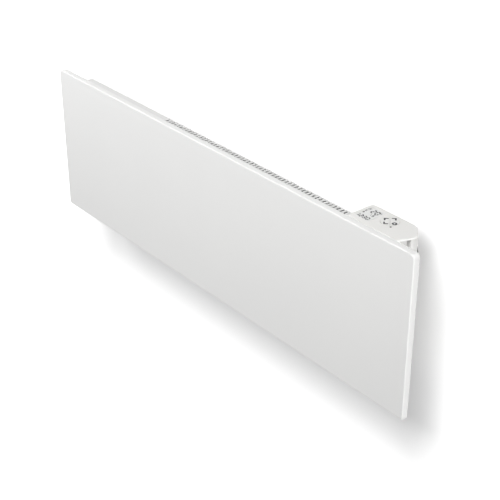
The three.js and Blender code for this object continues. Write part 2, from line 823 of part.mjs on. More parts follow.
function keyMat() {
  const reach = padRadius + keyFlange;
  const low = cardTopZ + seat;
  const base = solid(cylinderZ(padX, padY, reach, low, matTopZ, 24));
  const domes = [0, 1, 2, 3].map((turn) => {
    const angle = (turn * Math.PI) / 2;
    const x = padX + keyReach * Math.cos(angle);
    const y = padY + keyReach * Math.sin(angle);
    const dome = new THREE.CylinderGeometry(domeRadius * 0.6, domeRadius, domeHeight, 12);
    return solid(dome.rotateX(Math.PI / 2).translate(x, y, matTopZ + domeHeight / 2 - domeSink));
  });
  const notch = solid(cylinderZ(ledX, ledY, ledRadius + 1, low - 1, matTopZ + 1, 12));
  return surface(cut(joined(base, ...domes), notch));
}

function keyBoard() {
  const margin = controlWall + capLipWall + seat * 2;
  const right = controlFrontEnd - controlRecess - margin;
  return roundedBlock(
    controlLeft + margin, right, controlFrontY + margin, controlBackY - margin,
    cardTopZ - boardSheet, cardTopZ, 3,
  );
}

function displayModule() {
  const [w, l] = [displayWidth / 2 + 0.5, displayLength / 2 - 0.5];
  return roundedBlock(displayX - w, displayX + w, displayY - l, displayY + l, cardTopZ + seat, cardTopZ + 3);
}

function roundedBlock(x0, x1, y0, y1, z0, z1, radius = 0.8) {
  return alongZ(roundedRectangle(x0, x1, y0, y1, radius, 2), z0, z1);
}

function ledPipe() {
  return cylinderZ(ledX, ledY, ledRadius, cardTopZ + seat, controlTopZ, 14);
}

function powerBoard() {
  return box(powerLeft, powerLeft + powerWidth, powerFrontY, powerBackY, powerLow, powerLow + powerHeight);
}

// A component standing on the power board's front.
function boardPart(x, z, width, height, depth, radius = 1) {
  const corners = roundedRectangle(x - width / 2, x + width / 2, z - height / 2, z + height / 2, radius, 2);
  return alongY(corners, powerFrontY - seat - depth, powerFrontY - seat);
}

function transformer(x, z) {
  const core = solid(boardPart(x, z, 22, 26, 20, 0.5));
  const coil = solid(boardPart(x, z, 28, 16, 17, 3));
  return surface(joined(core, coil));
}

function terminalBlock() {
  const right = terminalLeft + terminalPitch * terminalPoles;
  const z0 = powerLow + 4;
  const back = powerFrontY - seat;
  const front = back - terminalDepth;
  const body = solid(box(terminalLeft, right, front, back, z0, z0 + terminalHeight));
  const wells = [];
  for (let pole = 0; pole < terminalPoles; pole += 1) {
    const x = terminalLeft + terminalPitch * (pole + 0.5);
    wells.push(cylinderY(x, z0 + terminalHeight / 2 + 2, 2.4, front - cutOver, front + 4, 12));
    wells.push(cylinderZ(x, back - terminalDepth / 2, 2, z0 - 1, z0 + 5, 12));
  }
  return surface(cut(body, together(wells)));
}

// ---------------------------------------------------------------- switch on the chamfer

// Drawn with X along the chamfer, Y up and Z out of it; the bezel's face is at bezelDepth + seat.
function switchBody() {
  const face = bezelDepth + seat;
  const cavity = [rockerWidth / 2 + seat, rockerHeight / 2 + 0.9];
  const bezel = surface(roundedPlate(
    roundedRectangle(-bezelWidth / 2, bezelWidth / 2, -bezelHeight / 2, bezelHeight / 2, 1.2, 3),
    bezelDepth, 0.6, 2,
  )).translate(0, 0, seat);
  const half = [switchWidth / 2, switchHeight / 2];
  const barrel = box(-half[0], half[0], -half[1], half[1], -switchDepth, seat + 0.4);
  const blades = [-1, 1].map((side) => solid(box(
    -spadeWidth / 2, spadeWidth / 2, side * 5 - spadeSheet / 2, side * 5 + spadeSheet / 2,
    -switchDepth - spadeLength, -switchDepth + 1,
  )));
  const well = solid(box(-cavity[0], cavity[0], -cavity[1], cavity[1], face - 9, face + 1));
  return surface(cut(joined(solid(bezel), solid(barrel), ...blades), well));
}

// The rocker seen from its end: high at both ends, low in the middle, round underneath.
function switchRocker() {
  const half = rockerHeight / 2;
  const pivotZ = bezelDepth + seat - rockerPivot;
  const crown = rockerPivot + rockerProud;
  const profile = [
    [half, crown],
    [half * 0.55, crown - 0.9],
    [0, crown - 1.3],
    [-half * 0.55, crown - 0.9],
    [-half, crown],
    [-half, -0.5],
    ...arc(0, -0.5, half * 0.72, 200, 340, 6),
    [half, -0.5],
  ];
  const side = profile.map(([y, z]) => [y, z]);
  const rocker = alongX(side.reverse(), -rockerWidth / 2, rockerWidth / 2);
  return rocker.rotateX(THREE.MathUtils.degToRad(-rockerTilt)).translate(0, 0, pivotZ);
}

// ---------------------------------------------------------------- bushes and small parts

function passageBush() {
  const x0 = casingRightX - casingSheet - seat;
  const x1 = controlLeft + controlWall + seat;
  const outer = bushBore + bushWall;
  const profile = [
    [bushBore, x0 - bushLip],
    [outer + bushLip, x0 - bushLip],
    [outer + bushLip, x0],
    [outer, x0],
    [outer, x1],
    [outer + bushLip, x1],
    [outer + bushLip, x1 + bushLip],
    [bushBore, x1 + bushLip],
  ];
  return turned(profile, 24).rotateY(Math.PI / 2).translate(0, bushY, bushZ);
}

function cordGland() {
  const under = controlBottomZ - seat;
  const above = floorTopZ + seat;
  const profile = [
    [glandBore, under - glandFlangeHeight],
    [glandFlange, under - glandFlangeHeight],
    [glandFlange, under],
    [glandNeck, under],
    [glandNeck, above],
    [glandNut, above],
    [glandNut, above + glandNutHeight],
    [glandBore, above + glandNutHeight],
  ];
  return turned(profile, 24).translate(glandX, glandY, 0);
}

// Saddle that grips the cord against the housing's block.
function cordClamp() {
  const earY = glandY + glandBore - 0.5 - seat;
  const low = floorTopZ + clampAboveFloor;
  const inner = glandBore;
  const outerR = inner + clampSheet;
  const centreY = earY - clampSheet;
  const section = [
    [glandX + clampReach, earY],
    [glandX + inner, earY],
    [glandX + inner, centreY],
    ...arc(glandX, centreY, inner, 0, -180, 8).slice(1, -1),
    [glandX - inner, centreY],
    [glandX - inner, earY],
    [glandX - clampReach, earY],
    [glandX - clampReach, earY - clampSheet],
    [glandX - outerR, earY - clampSheet],
    ...arc(glandX, centreY, outerR, -180, 0, 8).slice(1, -1),
    [glandX + outerR, earY - clampSheet],
    [glandX + clampReach, earY - clampSheet],
  ];
  return alongZ(section, low, low + clampHeight);
}

function airSensor() {
  const profile = [
    [0, controlBottomZ - sensorBelow],
    [sensorRadius * 0.7, controlBottomZ - sensorBelow],
    [sensorRadius, controlBottomZ - sensorBelow + 1],
    [sensorRadius, floorTopZ + seat],
    [sensorRadius + 1.5, floorTopZ + seat],
    [sensorRadius + 1.5, floorTopZ + seat + 1.5],
    [sensorRadius, floorTopZ + seat + 1.5],
    [sensorRadius, floorTopZ + sensorAbove],
    [0, floorTopZ + sensorAbove],
  ];
  const points = profile.map(([r, z]) => new THREE.Vector2(r, z));
  return new THREE.LatheGeometry(points, 14).rotateX(Math.PI / 2).translate(sensorX, sensorY, 0);
}

// Pan-head screw pointing to the front, with its head behind the given plane.
function panScrew(x, z, seatY, length = screwLength) {
  const profile = [
    [0, -length],
    [screwShank * 0.5, -length],
    [screwShank, -length + 1.2],
    [screwShank, 0],
    [screwHead, 0],
    [screwHead, screwHeadHeight * 0.5],
    [screwHead * 0.75, screwHeadHeight],
    [0, screwHeadHeight],
  ];
  const points = profile.map(([r, y]) => new THREE.Vector2(r, y));
  return new THREE.LatheGeometry(points, 16).translate(x, seatY + seat, z);
}

// ---------------------------------------------------------------- wall bracket

// C-section upright with its web on the wall and a hook that reaches through the casing.
function upright(side) {
  const inner = uprightX - uprightSheet;
  const section = [
    [uprightX, 0],
    [uprightX - uprightWeb, 0],
    [uprightX - uprightWeb, -uprightSheet],
    [inner, -uprightSheet],
    [inner, lipBackY],
    [uprightX - uprightLip, lipBackY],
    [uprightX - uprightLip, lipFrontY],
    [uprightX, lipFrontY],
  ];
  const neckTop = hookZ - seat;
  const neckLow = neckTop - hookNeck;
  const tipBackY = casingInnerY - seat;
  const tipFrontY = tipBackY - hookTipDepth;
  const hook = [
    [lipFrontY + 1, neckLow - 6],
    [lipFrontY + 1, neckTop],
    [tipBackY, neckTop],
    [tipBackY, neckTop + hookTip],
    [tipFrontY + 1.5, neckTop + hookTip],
    [tipFrontY, neckTop + hookTip - 2],
    [tipFrontY, neckLow],
    [casingBackY + seat, neckLow],
  ];
  const bar = solid(alongZ(section.reverse(), uprightBottom, uprightTop));
  const arm = solid(alongX(hook.reverse(), inner, uprightX));
  const holes = [1, -1].map((up) => (
    solid(cylinderY(uprightX - uprightWeb / 2, up * fixingZ, fixingRadius, -uprightSheet - 1, 1, 16))));
  const piece = surface(cut(joined(bar, arm), ...holes));
  return side > 0 ? piece : mirrored(piece);
}

// A geometry mirrored in X, with its faces turned to point outwards again.
function mirrored(geometry) {
  geometry.scale(-1, 1, 1);
  const index = geometry.index.array;
  for (let i = 0; i < index.length; i += 3) {
    [index[i], index[i + 1]] = [index[i + 1], index[i]];
  }
  return geometry;
}

// Flat bar on the wall whose ends step forward over the uprights' webs.
function crossBar() {
  const end = uprightX - uprightWeb - seat;
  const lap = uprightX - uprightWeb + crossLap;
  const step = uprightSheet + seat;
  const right = [
    [end, 0],
    [end, -uprightSheet - seat],
    [lap, -uprightSheet - seat],
    [lap, -step - crossSheet],
    [end - crossSheet, -step - crossSheet],
    [end - crossSheet - 1, -crossSheet],
  ];
  const left = right.map(([x, y]) => [-x, y]).reverse();
  const body = solid(alongZ([...left, ...right].reverse(), -crossHeight / 2, crossHeight / 2));
  const slots = [-60, 60].map((x) => solid(box(x - 9, x + 9, -5, 1, -3, 3)));
  return surface(cut(body, ...slots));
}

function glidePad(side) {
  const x = side * (uprightX - uprightLip / 2);
  const front = casingBackY + seat;
  const corners = roundedRectangle(x - 5, x + 5, padLowZ, padLowZ + padHeight, 2, 3);
  return alongY(corners, front, front + padSheet);
}

// Quarter-turn latch: the tongue lies behind the upright's lip at rest.
function turnLatch(side) {
  const x = side * latchX;
  const collarBack = casingInnerY - seat;
  const bossFront = casingBackY + seat;
  const tongueFront = lipBackY + seat;
  const tongueBack = tongueFront + latchTongueSheet;
  const collar = solid(cylinderY(x, latchZ, latchCollar, collarBack - latchCollarHeight, collarBack, 20));
  const neck = solid(cylinderY(x, latchZ, latchNeck, collarBack - 0.5, bossFront + 0.5, 20));
  const boss = solid(cylinderY(x, latchZ, latchBoss, bossFront, tongueBack, 20));
  const tip = arc(0, 0, latchTongueWidth / 2, -90, 90, 6)
    .map(([u, v]) => [u + latchTongue - latchTongueWidth / 2, v]);
  const plan = [[0, -latchTongueWidth / 2], ...tip, [0, latchTongueWidth / 2]];
  const tongueShape = plan.map(([u, v]) => [x + side * u, latchZ + v]);
  const tongue = solid(alongY(side > 0 ? tongueShape : tongueShape.reverse(), tongueFront, tongueBack));
  const grip = solid(box(x - 1.2, x + 1.2, tongueBack - 1, tongueBack + 5, latchZ - 5, latchZ + 5));
  return surface(joined(collar, neck, boss, tongue, grip));
}

// ---------------------------------------------------------------- wiring

const poleX = (pole) => terminalLeft + terminalPitch * (pole + 0.5);
const poleY = powerFrontY - seat - terminalDepth / 2;
const poleZ = powerLow + 4;

// Through the passage bush and up to one pole of the terminal block.
function throughBush(dy, dz, pole) {
  const [y, z] = [bushY + dy, bushZ + dz];
  return [
    [casingRightX - 8, y, z],
    [casingRightX, y, z],
    [controlLeft + 4, y, z],
    [controlLeft + 9 + pole * 3, y + 2, z - 1 + pole],
    [poleX(pole), poleY - 3, poleZ - 9],
    [poleX(pole), poleY, poleZ - 3],
    [poleX(pole), poleY, poleZ + 4],
  ];
}

function elementLeadLeft() {
  const start = elementLeft - rodReach - pinReach - seat;
  const lowY = casingInnerY - 5;
  const lowZ = -casingInnerZ + 3.4;
  return wire([
    [start, elementY, elementZ],
    [start - 8, elementY, elementZ],
    [start - 17, elementY + 2, elementZ - 12],
    [start - 17, lowY - 3, lowZ + 16],
    [start - 8, lowY, lowZ + 2],
    [start + 12, lowY, lowZ],
    [elementLeft + 120, lowY, lowZ],
    [elementRight - 60, lowY, lowZ],
    [elementRight - 20, lowY, lowZ],
    [elementRight - 4, lowY - 3, lowZ + 5],
    ...throughBush(wireBundle, -wireBundle, 2),
  ], wireRadius, 54);
}

const cutoutTabZ = cutoutZ - cutoutRadius - spadeLength;
const cutoutTabY = casingInnerY - seat - cutoutHeight + 2;

// Cut-out through the passage bush to the terminal block.
function returnLead() {
  const rearY = casingInnerY - 3;
  return wire([
    [cutoutX - 4, cutoutTabY + spadeSheet / 2, cutoutTabZ - seat],
    [cutoutX - 4, cutoutTabY, cutoutTabZ - 5],
    [cutoutX + 4, rearY, cutoutTabZ - 14],
    [cutoutX + 24, rearY, cutoutTabZ - 18],
    [elementRight + 4, rearY, cutoutTabZ - 18],
    [casingRightX - 12, rearY, cutoutTabZ - 26],
    [casingRightX - 9, rearY, elementZ],
    [casingRightX - 12, rearY - 3, bushZ + 12],
    ...throughBush(wireBundle, wireBundle, 0),
  ], wireRadius, 46);
}

// Right-hand end of the element up to the cut-out.
function elementLeadRight() {
  const start = elementRight + rodReach - rodShort + pinShort + seat;
  const rearY = casingInnerY - 3;
  const runZ = cutoutTabZ - 12;
  return wire([
    [start, elementY, elementZ],
    [start + 3, elementY, elementZ],
    [start + 6, elementY, elementZ + 8],
    [start + 4, elementY, runZ - 12],
    [start - 10, elementY, runZ],
    [start - 40, elementY + 2, runZ],
    [cutoutX + 30, rearY - 2, runZ],
    [cutoutX + 9, rearY, runZ + 1],
    [cutoutX + 4, cutoutTabY, cutoutTabZ - 5],
    [cutoutX + 4, cutoutTabY + spadeSheet / 2, cutoutTabZ - seat],
  ], wireRadius, 36);
}

// Casing's earth screw to the terminal block.
function earthLead() {
  const out = casingRightX - casingSheet - screwHeadHeight - seat * 2;
  return wire([
    [out, earthY, earthZ],
    [out - 3, earthY, earthZ + 0.5],
    [out - 4, earthY + 2, earthZ + 6],
    ...throughBush(-wireBundle, -wireBundle, 3),
  ], wireRadius, 34);
}

function earthScrew() {
  const screw = panScrew(0, 0, 0, earthScrewLength).rotateZ(Math.PI / 2);
  return screw.translate(casingRightX - casingSheet, earthY, earthZ);
}

// Flat flex between the key board and the power board.
function flexLead() {
  const x = powerLeft + powerWidth / 2;
  const top = cardTopZ - boardSheet - seat;
  const low = powerLow + powerHeight - 8;
  const front = powerFrontY - seat;
  const section = [
    [front - 5, top],
    [front - 5.5, top],
    [front - 5.5, low + 12],
    [front - 0.5, low + 4],
    [front - 0.5, low],
    [front, low],
    [front, low + 4.2],
    [front - 5, low + 12.3],
  ];
  return alongX(section, x - 6, x + 6);
}

// ---------------------------------------------------------------- assembly

const bracket = new THREE.Group();
const body = new THREE.Group();
heater.add(bracket, body);

add("bracket_upright_left", upright(-1), zincSheet, bracket);
add("bracket_upright_right", upright(1), zincSheet, bracket);
add("bracket_crossbar", crossBar(), zincSheet, bracket);
add("glide_pad_left", glidePad(-1), rubber, bracket);
add("glide_pad_right", glidePad(1), rubber, bracket);

add("front_panel", frontPanel(), powderCoat, body);
add("panel_rail_upper", panelRail(1), zincSheet, body);
add("panel_rail_lower", panelRail(-1), zincSheet, body);
add("heat_shield", heatShield(), aluminium, body);
add("rear_casing", rearCasing(), casingCoat, body);
add("end_plate_left", endPlate(casingLeftX, 1, []), casingCoat, body);
add("end_plate_right", endPlate(casingRightX, -1, [
  bushPassage(casingRightX - 9, casingRightX + 1),
  cylinderX(earthY, earthZ, screwHole, casingRightX - 9, casingRightX + 1, 12),
]), casingCoat, body);
for (const [up, row] of [[1, "upper"], [-1, "lower"]]) {
  screwSpread.forEach((x, i) => {
    const screw = panScrew(x, up * screwZ, casingFrontY + casingSheet);
    add(`casing_screw_${row}_${i + 1}`, screw, steelPin, body);
  });
}

add("heating_element", heatingElement(), aluminium, body);
const bracketLeftX = elementLeft - 6;
const bracketRightX = elementRight + 5;
add("element_bracket_left", elementBracket(bracketLeftX, -1), zincSheet, body);
add("element_bracket_right", elementBracket(bracketRightX, -1), zincSheet, body);
add("element_bush_left", elementBush(bracketLeftX - seat, 1), ceramic, body);
add("element_bush_right", elementBush(bracketRightX - seat, 1), ceramic, body);
add("thermal_cutout", thermalCutout(), darkPlastic, body);

add("control_housing", controlHousing(), moulding, body);
add("control_cap", controlCap(), moulding, body);
add("display_lens", displayLens(), lensPlastic, body);
add("display_module", displayModule(), darkPlastic, body);
add("key_board", keyBoard(), circuitBoard, body);
add("key_mat", keyMat(), rubber, body);
add("key_ok", padKey(0), keyPlastic, body);
add("key_up", padKey(Math.PI / 2), keyPlastic, body);
add("key_back", padKey(Math.PI), keyPlastic, body);
add("key_down", padKey(-Math.PI / 2), keyPlastic, body);
add("status_light_pipe", ledPipe(), darkPlastic, body);
add("power_board", powerBoard(), circuitBoard, body);
const relay = boardPart(powerLeft + relayAcross, powerTop - relayDrop, 16, 26, 15);
const woundAcross = powerLeft + transformerAcross;
add("relay", relay, relayCase, body);
add("transformer", transformer(woundAcross, powerTop - transformerDrop), copperWinding, body);
const capacitor = boardPart(woundAcross, powerTop - capacitorDrop, 24, 14, 9, 1.5);
add("filter_capacitor", capacitor, relayCase, body);
add("terminal_block", terminalBlock(), darkPlastic, body);

const switchGroup = new THREE.Group();
switchGroup.applyMatrix4(switchPlace);
body.add(switchGroup);
add("switch_body", switchBody(), darkPlastic, switchGroup);
add("switch_rocker", switchRocker(), darkPlastic, switchGroup);

add("passage_bush", passageBush(), rubber, body);
add("cord_gland", cordGland(), rubber, body);
add("cord_clamp", cordClamp(), zincSheet, body);
add("air_sensor", airSensor(), darkPlastic, body);
add("turn_latch_left", turnLatch(-1), darkPlastic, body);
add("turn_latch_right", turnLatch(1), darkPlastic, body);
add("element_lead_left", elementLeadLeft(), liveSleeve, body);
add("element_lead_right", elementLeadRight(), liveSleeve, body);
add("cutout_lead", returnLead(), neutralSleeve, body);
add("earth_screw", earthScrew(), steelPin, body);
add("earth_lead", earthLead(), earthSleeve, body);
add("flex_lead", flexLead(), lensPlastic, body);

export default heater;
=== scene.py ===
# %% [markdown]
# # A slim wall heater, dressed for a studio picture
#
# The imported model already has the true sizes, the bodies and the joints. This script gives it its
# looks: each solid is finished where it stands, or is replaced by a finer piece that fills the
# same space, and every surface gets a material made of nodes. All lengths are in metres, and the
# wall is the plane y = 0.

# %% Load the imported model
import json
import math

import bmesh
import bpy
from mathutils import Matrix, Vector


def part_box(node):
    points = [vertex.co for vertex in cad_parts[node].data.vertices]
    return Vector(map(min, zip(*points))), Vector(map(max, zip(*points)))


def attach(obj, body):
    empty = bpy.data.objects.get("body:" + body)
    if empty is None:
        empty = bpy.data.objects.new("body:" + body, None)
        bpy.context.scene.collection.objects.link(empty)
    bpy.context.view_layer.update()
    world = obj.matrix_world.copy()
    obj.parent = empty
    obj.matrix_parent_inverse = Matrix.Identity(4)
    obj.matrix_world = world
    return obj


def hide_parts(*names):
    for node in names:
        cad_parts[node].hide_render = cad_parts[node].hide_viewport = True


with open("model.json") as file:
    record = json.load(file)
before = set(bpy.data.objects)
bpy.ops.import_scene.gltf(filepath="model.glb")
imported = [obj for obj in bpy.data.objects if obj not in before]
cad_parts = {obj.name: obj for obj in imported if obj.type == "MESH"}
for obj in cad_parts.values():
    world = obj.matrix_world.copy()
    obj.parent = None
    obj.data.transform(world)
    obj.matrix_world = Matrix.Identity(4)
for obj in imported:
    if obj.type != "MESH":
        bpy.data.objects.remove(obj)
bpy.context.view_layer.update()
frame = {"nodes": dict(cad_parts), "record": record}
scene = bpy.context.scene
nodes = frame["nodes"]
record = frame["record"]
MM = 0.001
slot_of = {part["node"]: part["material_slot"] for part in record["subparts"]}
body_of = {}
for body, members in record["behaviour"]["bodies"].items():
    for member in members:
        body_of[member] = body

# %% [markdown]
# ## Small helpers
#
# Most steps below make a mesh, turn it into an object and tell the frame which body it rides on.
# These helpers keep that in one place. A piece is always left at the origin, with its place in
# its mesh, so that a pattern in object space stays where it is when a body moves.

# %% Objects and meshes


def object_from(name, work):
    """Turns the mesh that was worked on into an object of the scene."""
    mesh = bpy.data.meshes.new(name)
    work.to_mesh(mesh)
    work.free()
    piece = bpy.data.objects.new(name, mesh)
    scene.collection.objects.link(piece)
    return piece


def settled(piece):
    """Turns the piece with its modifiers into a plain mesh."""
    graph = bpy.context.evaluated_depsgraph_get()
    mesh = bpy.data.meshes.new_from_object(
        piece.evaluated_get(graph), preserve_all_data_layers=True, depsgraph=graph)
    piece.modifiers.clear()
    old = piece.data
    piece.data = mesh
    bpy.data.meshes.remove(old)
    mesh.name = piece.name
    return piece


def smoothed(piece, angle=38):
    piece.data.shade_smooth()
    piece.data.set_sharp_from_angle(angle=math.radians(angle))
    return piece


def rounded_edges(piece, width, segments=2, angle=30):
    bevel = piece.modifiers.new("edges", "BEVEL")
    bevel.width = width
    bevel.segments = segments
    bevel.limit_method = "ANGLE"
    bevel.angle_limit = math.radians(angle)
    bevel.use_clamp_overlap = False
    bevel.miter_outer = "MITER_ARC"
    even = piece.modifiers.new("even normals", "WEIGHTED_NORMAL")
    even.keep_sharp = True
    return settled(smoothed(piece))


print("helpers ready")

# %% Copies of the solids, merged and cleaned
MERGE_DISTANCE = 0.004 * MM
FLAT_ANGLE = math.radians(0.4)


def clean_copy(node, name):
    """A copy of a CAD solid with its loose triangles merged and its flat faces joined."""
    work = bmesh.new()
    work.from_mesh(nodes[node].data)
    bmesh.ops.remove_doubles(work, verts=work.verts, dist=MERGE_DISTANCE)
    bmesh.ops.dissolve_limit(work, angle_limit=FLAT_ANGLE, verts=work.verts, edges=work.edges)
    return object_from(name, work)


def arc(centre, radius, start, end, steps):
    """Points on a circle from one angle to another, in degrees."""
    points = []
    for i in range(steps + 1):
        angle = math.radians(start + (end - start) * i / steps)
        points.append((centre[0] + radius * math.cos(angle), centre[1] + radius * math.sin(angle)))
    return points


def rounded_rectangle(half_width, half_height, radius, steps, foot=None):
    """Counter-clockwise points; the two lower corners may have a radius of their own."""
    points = []
    for side, up, start in ((1, -1, -90), (1, 1, 0), (-1, 1, 90), (-1, -1, 180)):
        turn = foot if foot and up < 0 else radius
        centre = (side * (half_width - turn), up * (half_height - turn))
        points += arc(centre, turn, start, start + 90, steps)
    return points


def loft(name, *stacks):
    """Joins each stack's rings, of as many points each, and closes both of its ends."""
    work = bmesh.new()
    for rings in stacks:
        rows = [[work.verts.new(point) for point in ring] for ring in rings]
        for low, high in zip(rows, rows[1:]):
            for i in range(len(low)):
                j = (i + 1) % len(low)
                work.faces.new((low[i], low[j], high[j], high[i]))
        work.faces.new(list(reversed(rows[0])))
        work.faces.new(rows[-1])
    bmesh.ops.recalc_face_normals(work, faces=work.faces)
    return object_from(name, work)


def prism(name, outlines, low, high):
    """Flat outlines (x, y) raised from one height to another, all in one mesh."""
    return loft(name, *(
        [[(x, y, level) for x, y in outline] for level in (low, high)] for outline in outlines))


def lathe(name, profile, steps=32):
    """Turns (radius, height) points about Z; the profile starts and ends on the axis or closes."""
    work = bmesh.new()
    on_axis = [radius < 1e-9 for radius, height in profile]
    rows = []
    for (radius, height), centre in zip(profile, on_axis):
        if centre:
            rows.append([work.verts.new((0, 0, height))])
            continue
        turn = arc((0, 0), radius, 0, 360, steps)[:-1]
        rows.append([work.verts.new((x, y, height)) for x, y in turn])
    pairs = list(zip(rows, rows[1:]))
    if not (on_axis[0] or on_axis[-1]):
        pairs.append((rows[-1], rows[0]))
    for low, high in pairs:
        for i in range(steps):
            j = (i + 1) % steps
            ring = [low[i % len(low)], low[j % len(low)], high[j % len(high)], high[i % len(high)]]
            corners = list(dict.fromkeys(ring))
            if len(corners) > 2:
                work.faces.new(corners)
    bmesh.ops.recalc_face_normals(work, faces=work.faces)
    return object_from(name, work)


def placed(piece, matrix):
    """Puts the place into the mesh, so that the object stays at the origin."""
    piece.data.transform(matrix)
    return piece


print("shape helpers ready")

# %% Telling the frame what a piece is


def claim(piece, *replaced, finish_name=None):
    """The piece stands for these nodes: same body, and the slot of the first of them."""
    first = replaced[0]
    wanted = finish_name or slot_of[first]
    piece.data.materials.clear()
    piece.data.materials.append(finish[wanted])
    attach(piece, body_of[first])
    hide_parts(*replaced)
    return piece


def add_on(piece, node, look):
    """The piece is extra detail on a node's body."""
    piece.data.materials.clear()
    piece.data.materials.append(look)
    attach(piece, body_of[node])


finish = {}
print("frame helpers ready")

# %% [markdown]
# ## Geometry Nodes for what repeats
#
# Slots and screws are one shape placed many times by a rule. A Geometry Nodes tree says the rule
# once: it puts copies of a tool on points, then either keeps them or cuts them out of a sheet.
# Its sizes are named inputs, which the modifier reads by the socket's identifier.

# %% A tree builder and its runner


def is_socket(value):
    return isinstance(value, bpy.types.NodeSocket)


def add(tree, kind, inputs=None, **settings):
    """One node, with its settings, and its inputs linked or filled in."""
    node = tree.nodes.new(kind)
    for key, value in settings.items():
        setattr(node, key, value)
    for key, value in (inputs or {}).items():
        if is_socket(value):
            tree.links.new(value, node.inputs[key])
        else:
            node.inputs[key].default_value = value
    return node


def geometry_tree(name, sizes):
    tree = bpy.data.node_groups.new(name, "GeometryNodeTree")
    tree.interface.new_socket("Geometry", in_out="INPUT", socket_type="NodeSocketGeometry")
    for label, kind in sizes.items():
        tree.interface.new_socket(label, in_out="INPUT", socket_type=f"NodeSocket{kind}")
    tree.interface.new_socket("Geometry", in_out="OUTPUT", socket_type="NodeSocketGeometry")
    return tree, add(tree, "NodeGroupInput").outputs


def run_tree(piece, tree, sizes):
    """Fills the tree's named inputs, then turns the result into a plain mesh."""
    modifier = piece.modifiers.new(tree.name, "NODES")
    modifier.node_group = tree
    for item in tree.interface.items_tree:
        if item.item_type == "SOCKET" and item.in_out == "INPUT" and item.name in sizes:
            modifier[item.identifier] = sizes[item.name]
    settled(piece)
    print(piece.name, "faces", len(piece.data.polygons))
    return piece


def close_tree(tree, geometry, material):
    real = add(tree, "GeometryNodeRealizeInstances", {"Geometry": geometry})
    painted = add(tree, "GeometryNodeSetMaterial", {
        "Geometry": real.outputs["Geometry"], "Material": material})
    add(tree, "NodeGroupOutput", {"Geometry": painted.outputs["Geometry"]})


print("node helpers ready")

# %% A row of slots punched through a sheet


def punched_row_tree():
    tree, start = geometry_tree("punched_row", {
        "Tool": "Object", "First": "Vector", "Pitch": "Float", "Count": "Int",
        "Material": "Material"})
    step = add(tree, "ShaderNodeCombineXYZ", {"X": start["Pitch"]})
    line = add(tree, "GeometryNodeMeshLine", {
        "Count": start["Count"], "Start Location": start["First"],
        "Offset": step.outputs["Vector"]}, mode="OFFSET")
    tool = add(tree, "GeometryNodeObjectInfo", {"Object": start["Tool"]})
    copies = add(tree, "GeometryNodeInstanceOnPoints", {
        "Points": line.outputs["Mesh"], "Instance": tool.outputs["Geometry"]})
    tools = add(tree, "GeometryNodeRealizeInstances", {"Geometry": copies.outputs["Instances"]})
    cut = add(tree, "GeometryNodeMeshBoolean", {
        "Mesh 1": start["Geometry"], "Mesh 2": tools.outputs["Geometry"]},
        operation="DIFFERENCE", solver="EXACT")
    close_tree(tree, cut.outputs["Mesh"], start["Material"])
    return tree


punched_row = punched_row_tree()

# %% Copies of a tool on the points of a mesh
RANDOM_FLOAT = 1  # the random node's output for plain numbers


def copies_tree():
    tree, start = geometry_tree("copies_on_points", {
        "Tool": "Object", "Axis": "Vector", "Turn": "Float", "Seed": "Int",
        "Material": "Material"})
    tool = add(tree, "GeometryNodeObjectInfo", {"Object": start["Tool"]})
    copies = add(tree, "GeometryNodeInstanceOnPoints", {
        "Points": start["Geometry"], "Instance": tool.outputs["Geometry"]})
    turn = add(tree, "FunctionNodeRandomValue", {"Seed": start["Seed"]}, data_type="FLOAT")
    angle = add(tree, "ShaderNodeMath", {
        0: turn.outputs[RANDOM_FLOAT], 1: start["Turn"]}, operation="MULTIPLY")
    spin = add(tree, "FunctionNodeAxisAngleToRotation", {
        "Axis": start["Axis"], "Angle": angle.outputs["Value"]})
    turned = add(tree, "GeometryNodeRotateInstances", {
        "Instances": copies.outputs["Instances"], "Rotation": spin.outputs["Rotation"],
        "Local Space": True})
    close_tree(tree, turned.outputs["Instances"], start["Material"])
    return tree


copies_on_points = copies_tree()


def points_object(name, points):
    work = bmesh.new()
    for point in points:
        work.verts.new(point)
    return object_from(name, work)


print("trees", punched_row.name, copies_on_points.name)

# %% [markdown]
# ## Surface effects shared by several finishes
#
# A powder coat, a moulding and a zinc-plated sheet each have a small pattern of their own, and all
# of them gather a little dust and a few smears. Each effect is one shader node group with named
# inputs and outputs, so that every material can use it with its own values. The groups only put
# out heights, masks and tones. The shader itself stays in the material.

# %% A builder for shader groups


def shader_group(name, inputs, outputs):
    tree = bpy.data.node_groups.new(name, "ShaderNodeTree")
    for label, value in inputs.items():
        kind = "NodeSocketVector" if value is None else "NodeSocketFloat"
        socket = tree.interface.new_socket(label, in_out="INPUT", socket_type=kind)
        if value is not None:
            socket.default_value = value
    for label in outputs:
        tree.interface.new_socket(label, in_out="OUTPUT", socket_type="NodeSocketFloat")
    return tree, add(tree, "NodeGroupInput").outputs


def noise(tree, place, scale, detail=2.0, roughness=0.5):
    made = add(tree, "ShaderNodeTexNoise", {
        "Vector": place, "Scale": scale, "Detail": detail, "Roughness": roughness})
    return made.outputs["Fac"]


def math_node(tree, operation, first, second=0.0, clamp=False):
    made = add(tree, "ShaderNodeMath", {0: first, 1: second}, operation=operation, use_clamp=clamp)
    return made.outputs["Value"]


def remapped(tree, value, low, high, new_low=0.0, new_high=1.0):
    made = add(tree, "ShaderNodeMapRange", {
        "Value": value, "From Min": low, "From Max": high, "To Min": new_low, "To Max": new_high})
    return made.outputs["Result"]


print("shader helpers ready")

# %% Powder coat: a faint orange peel and a slow change of tone


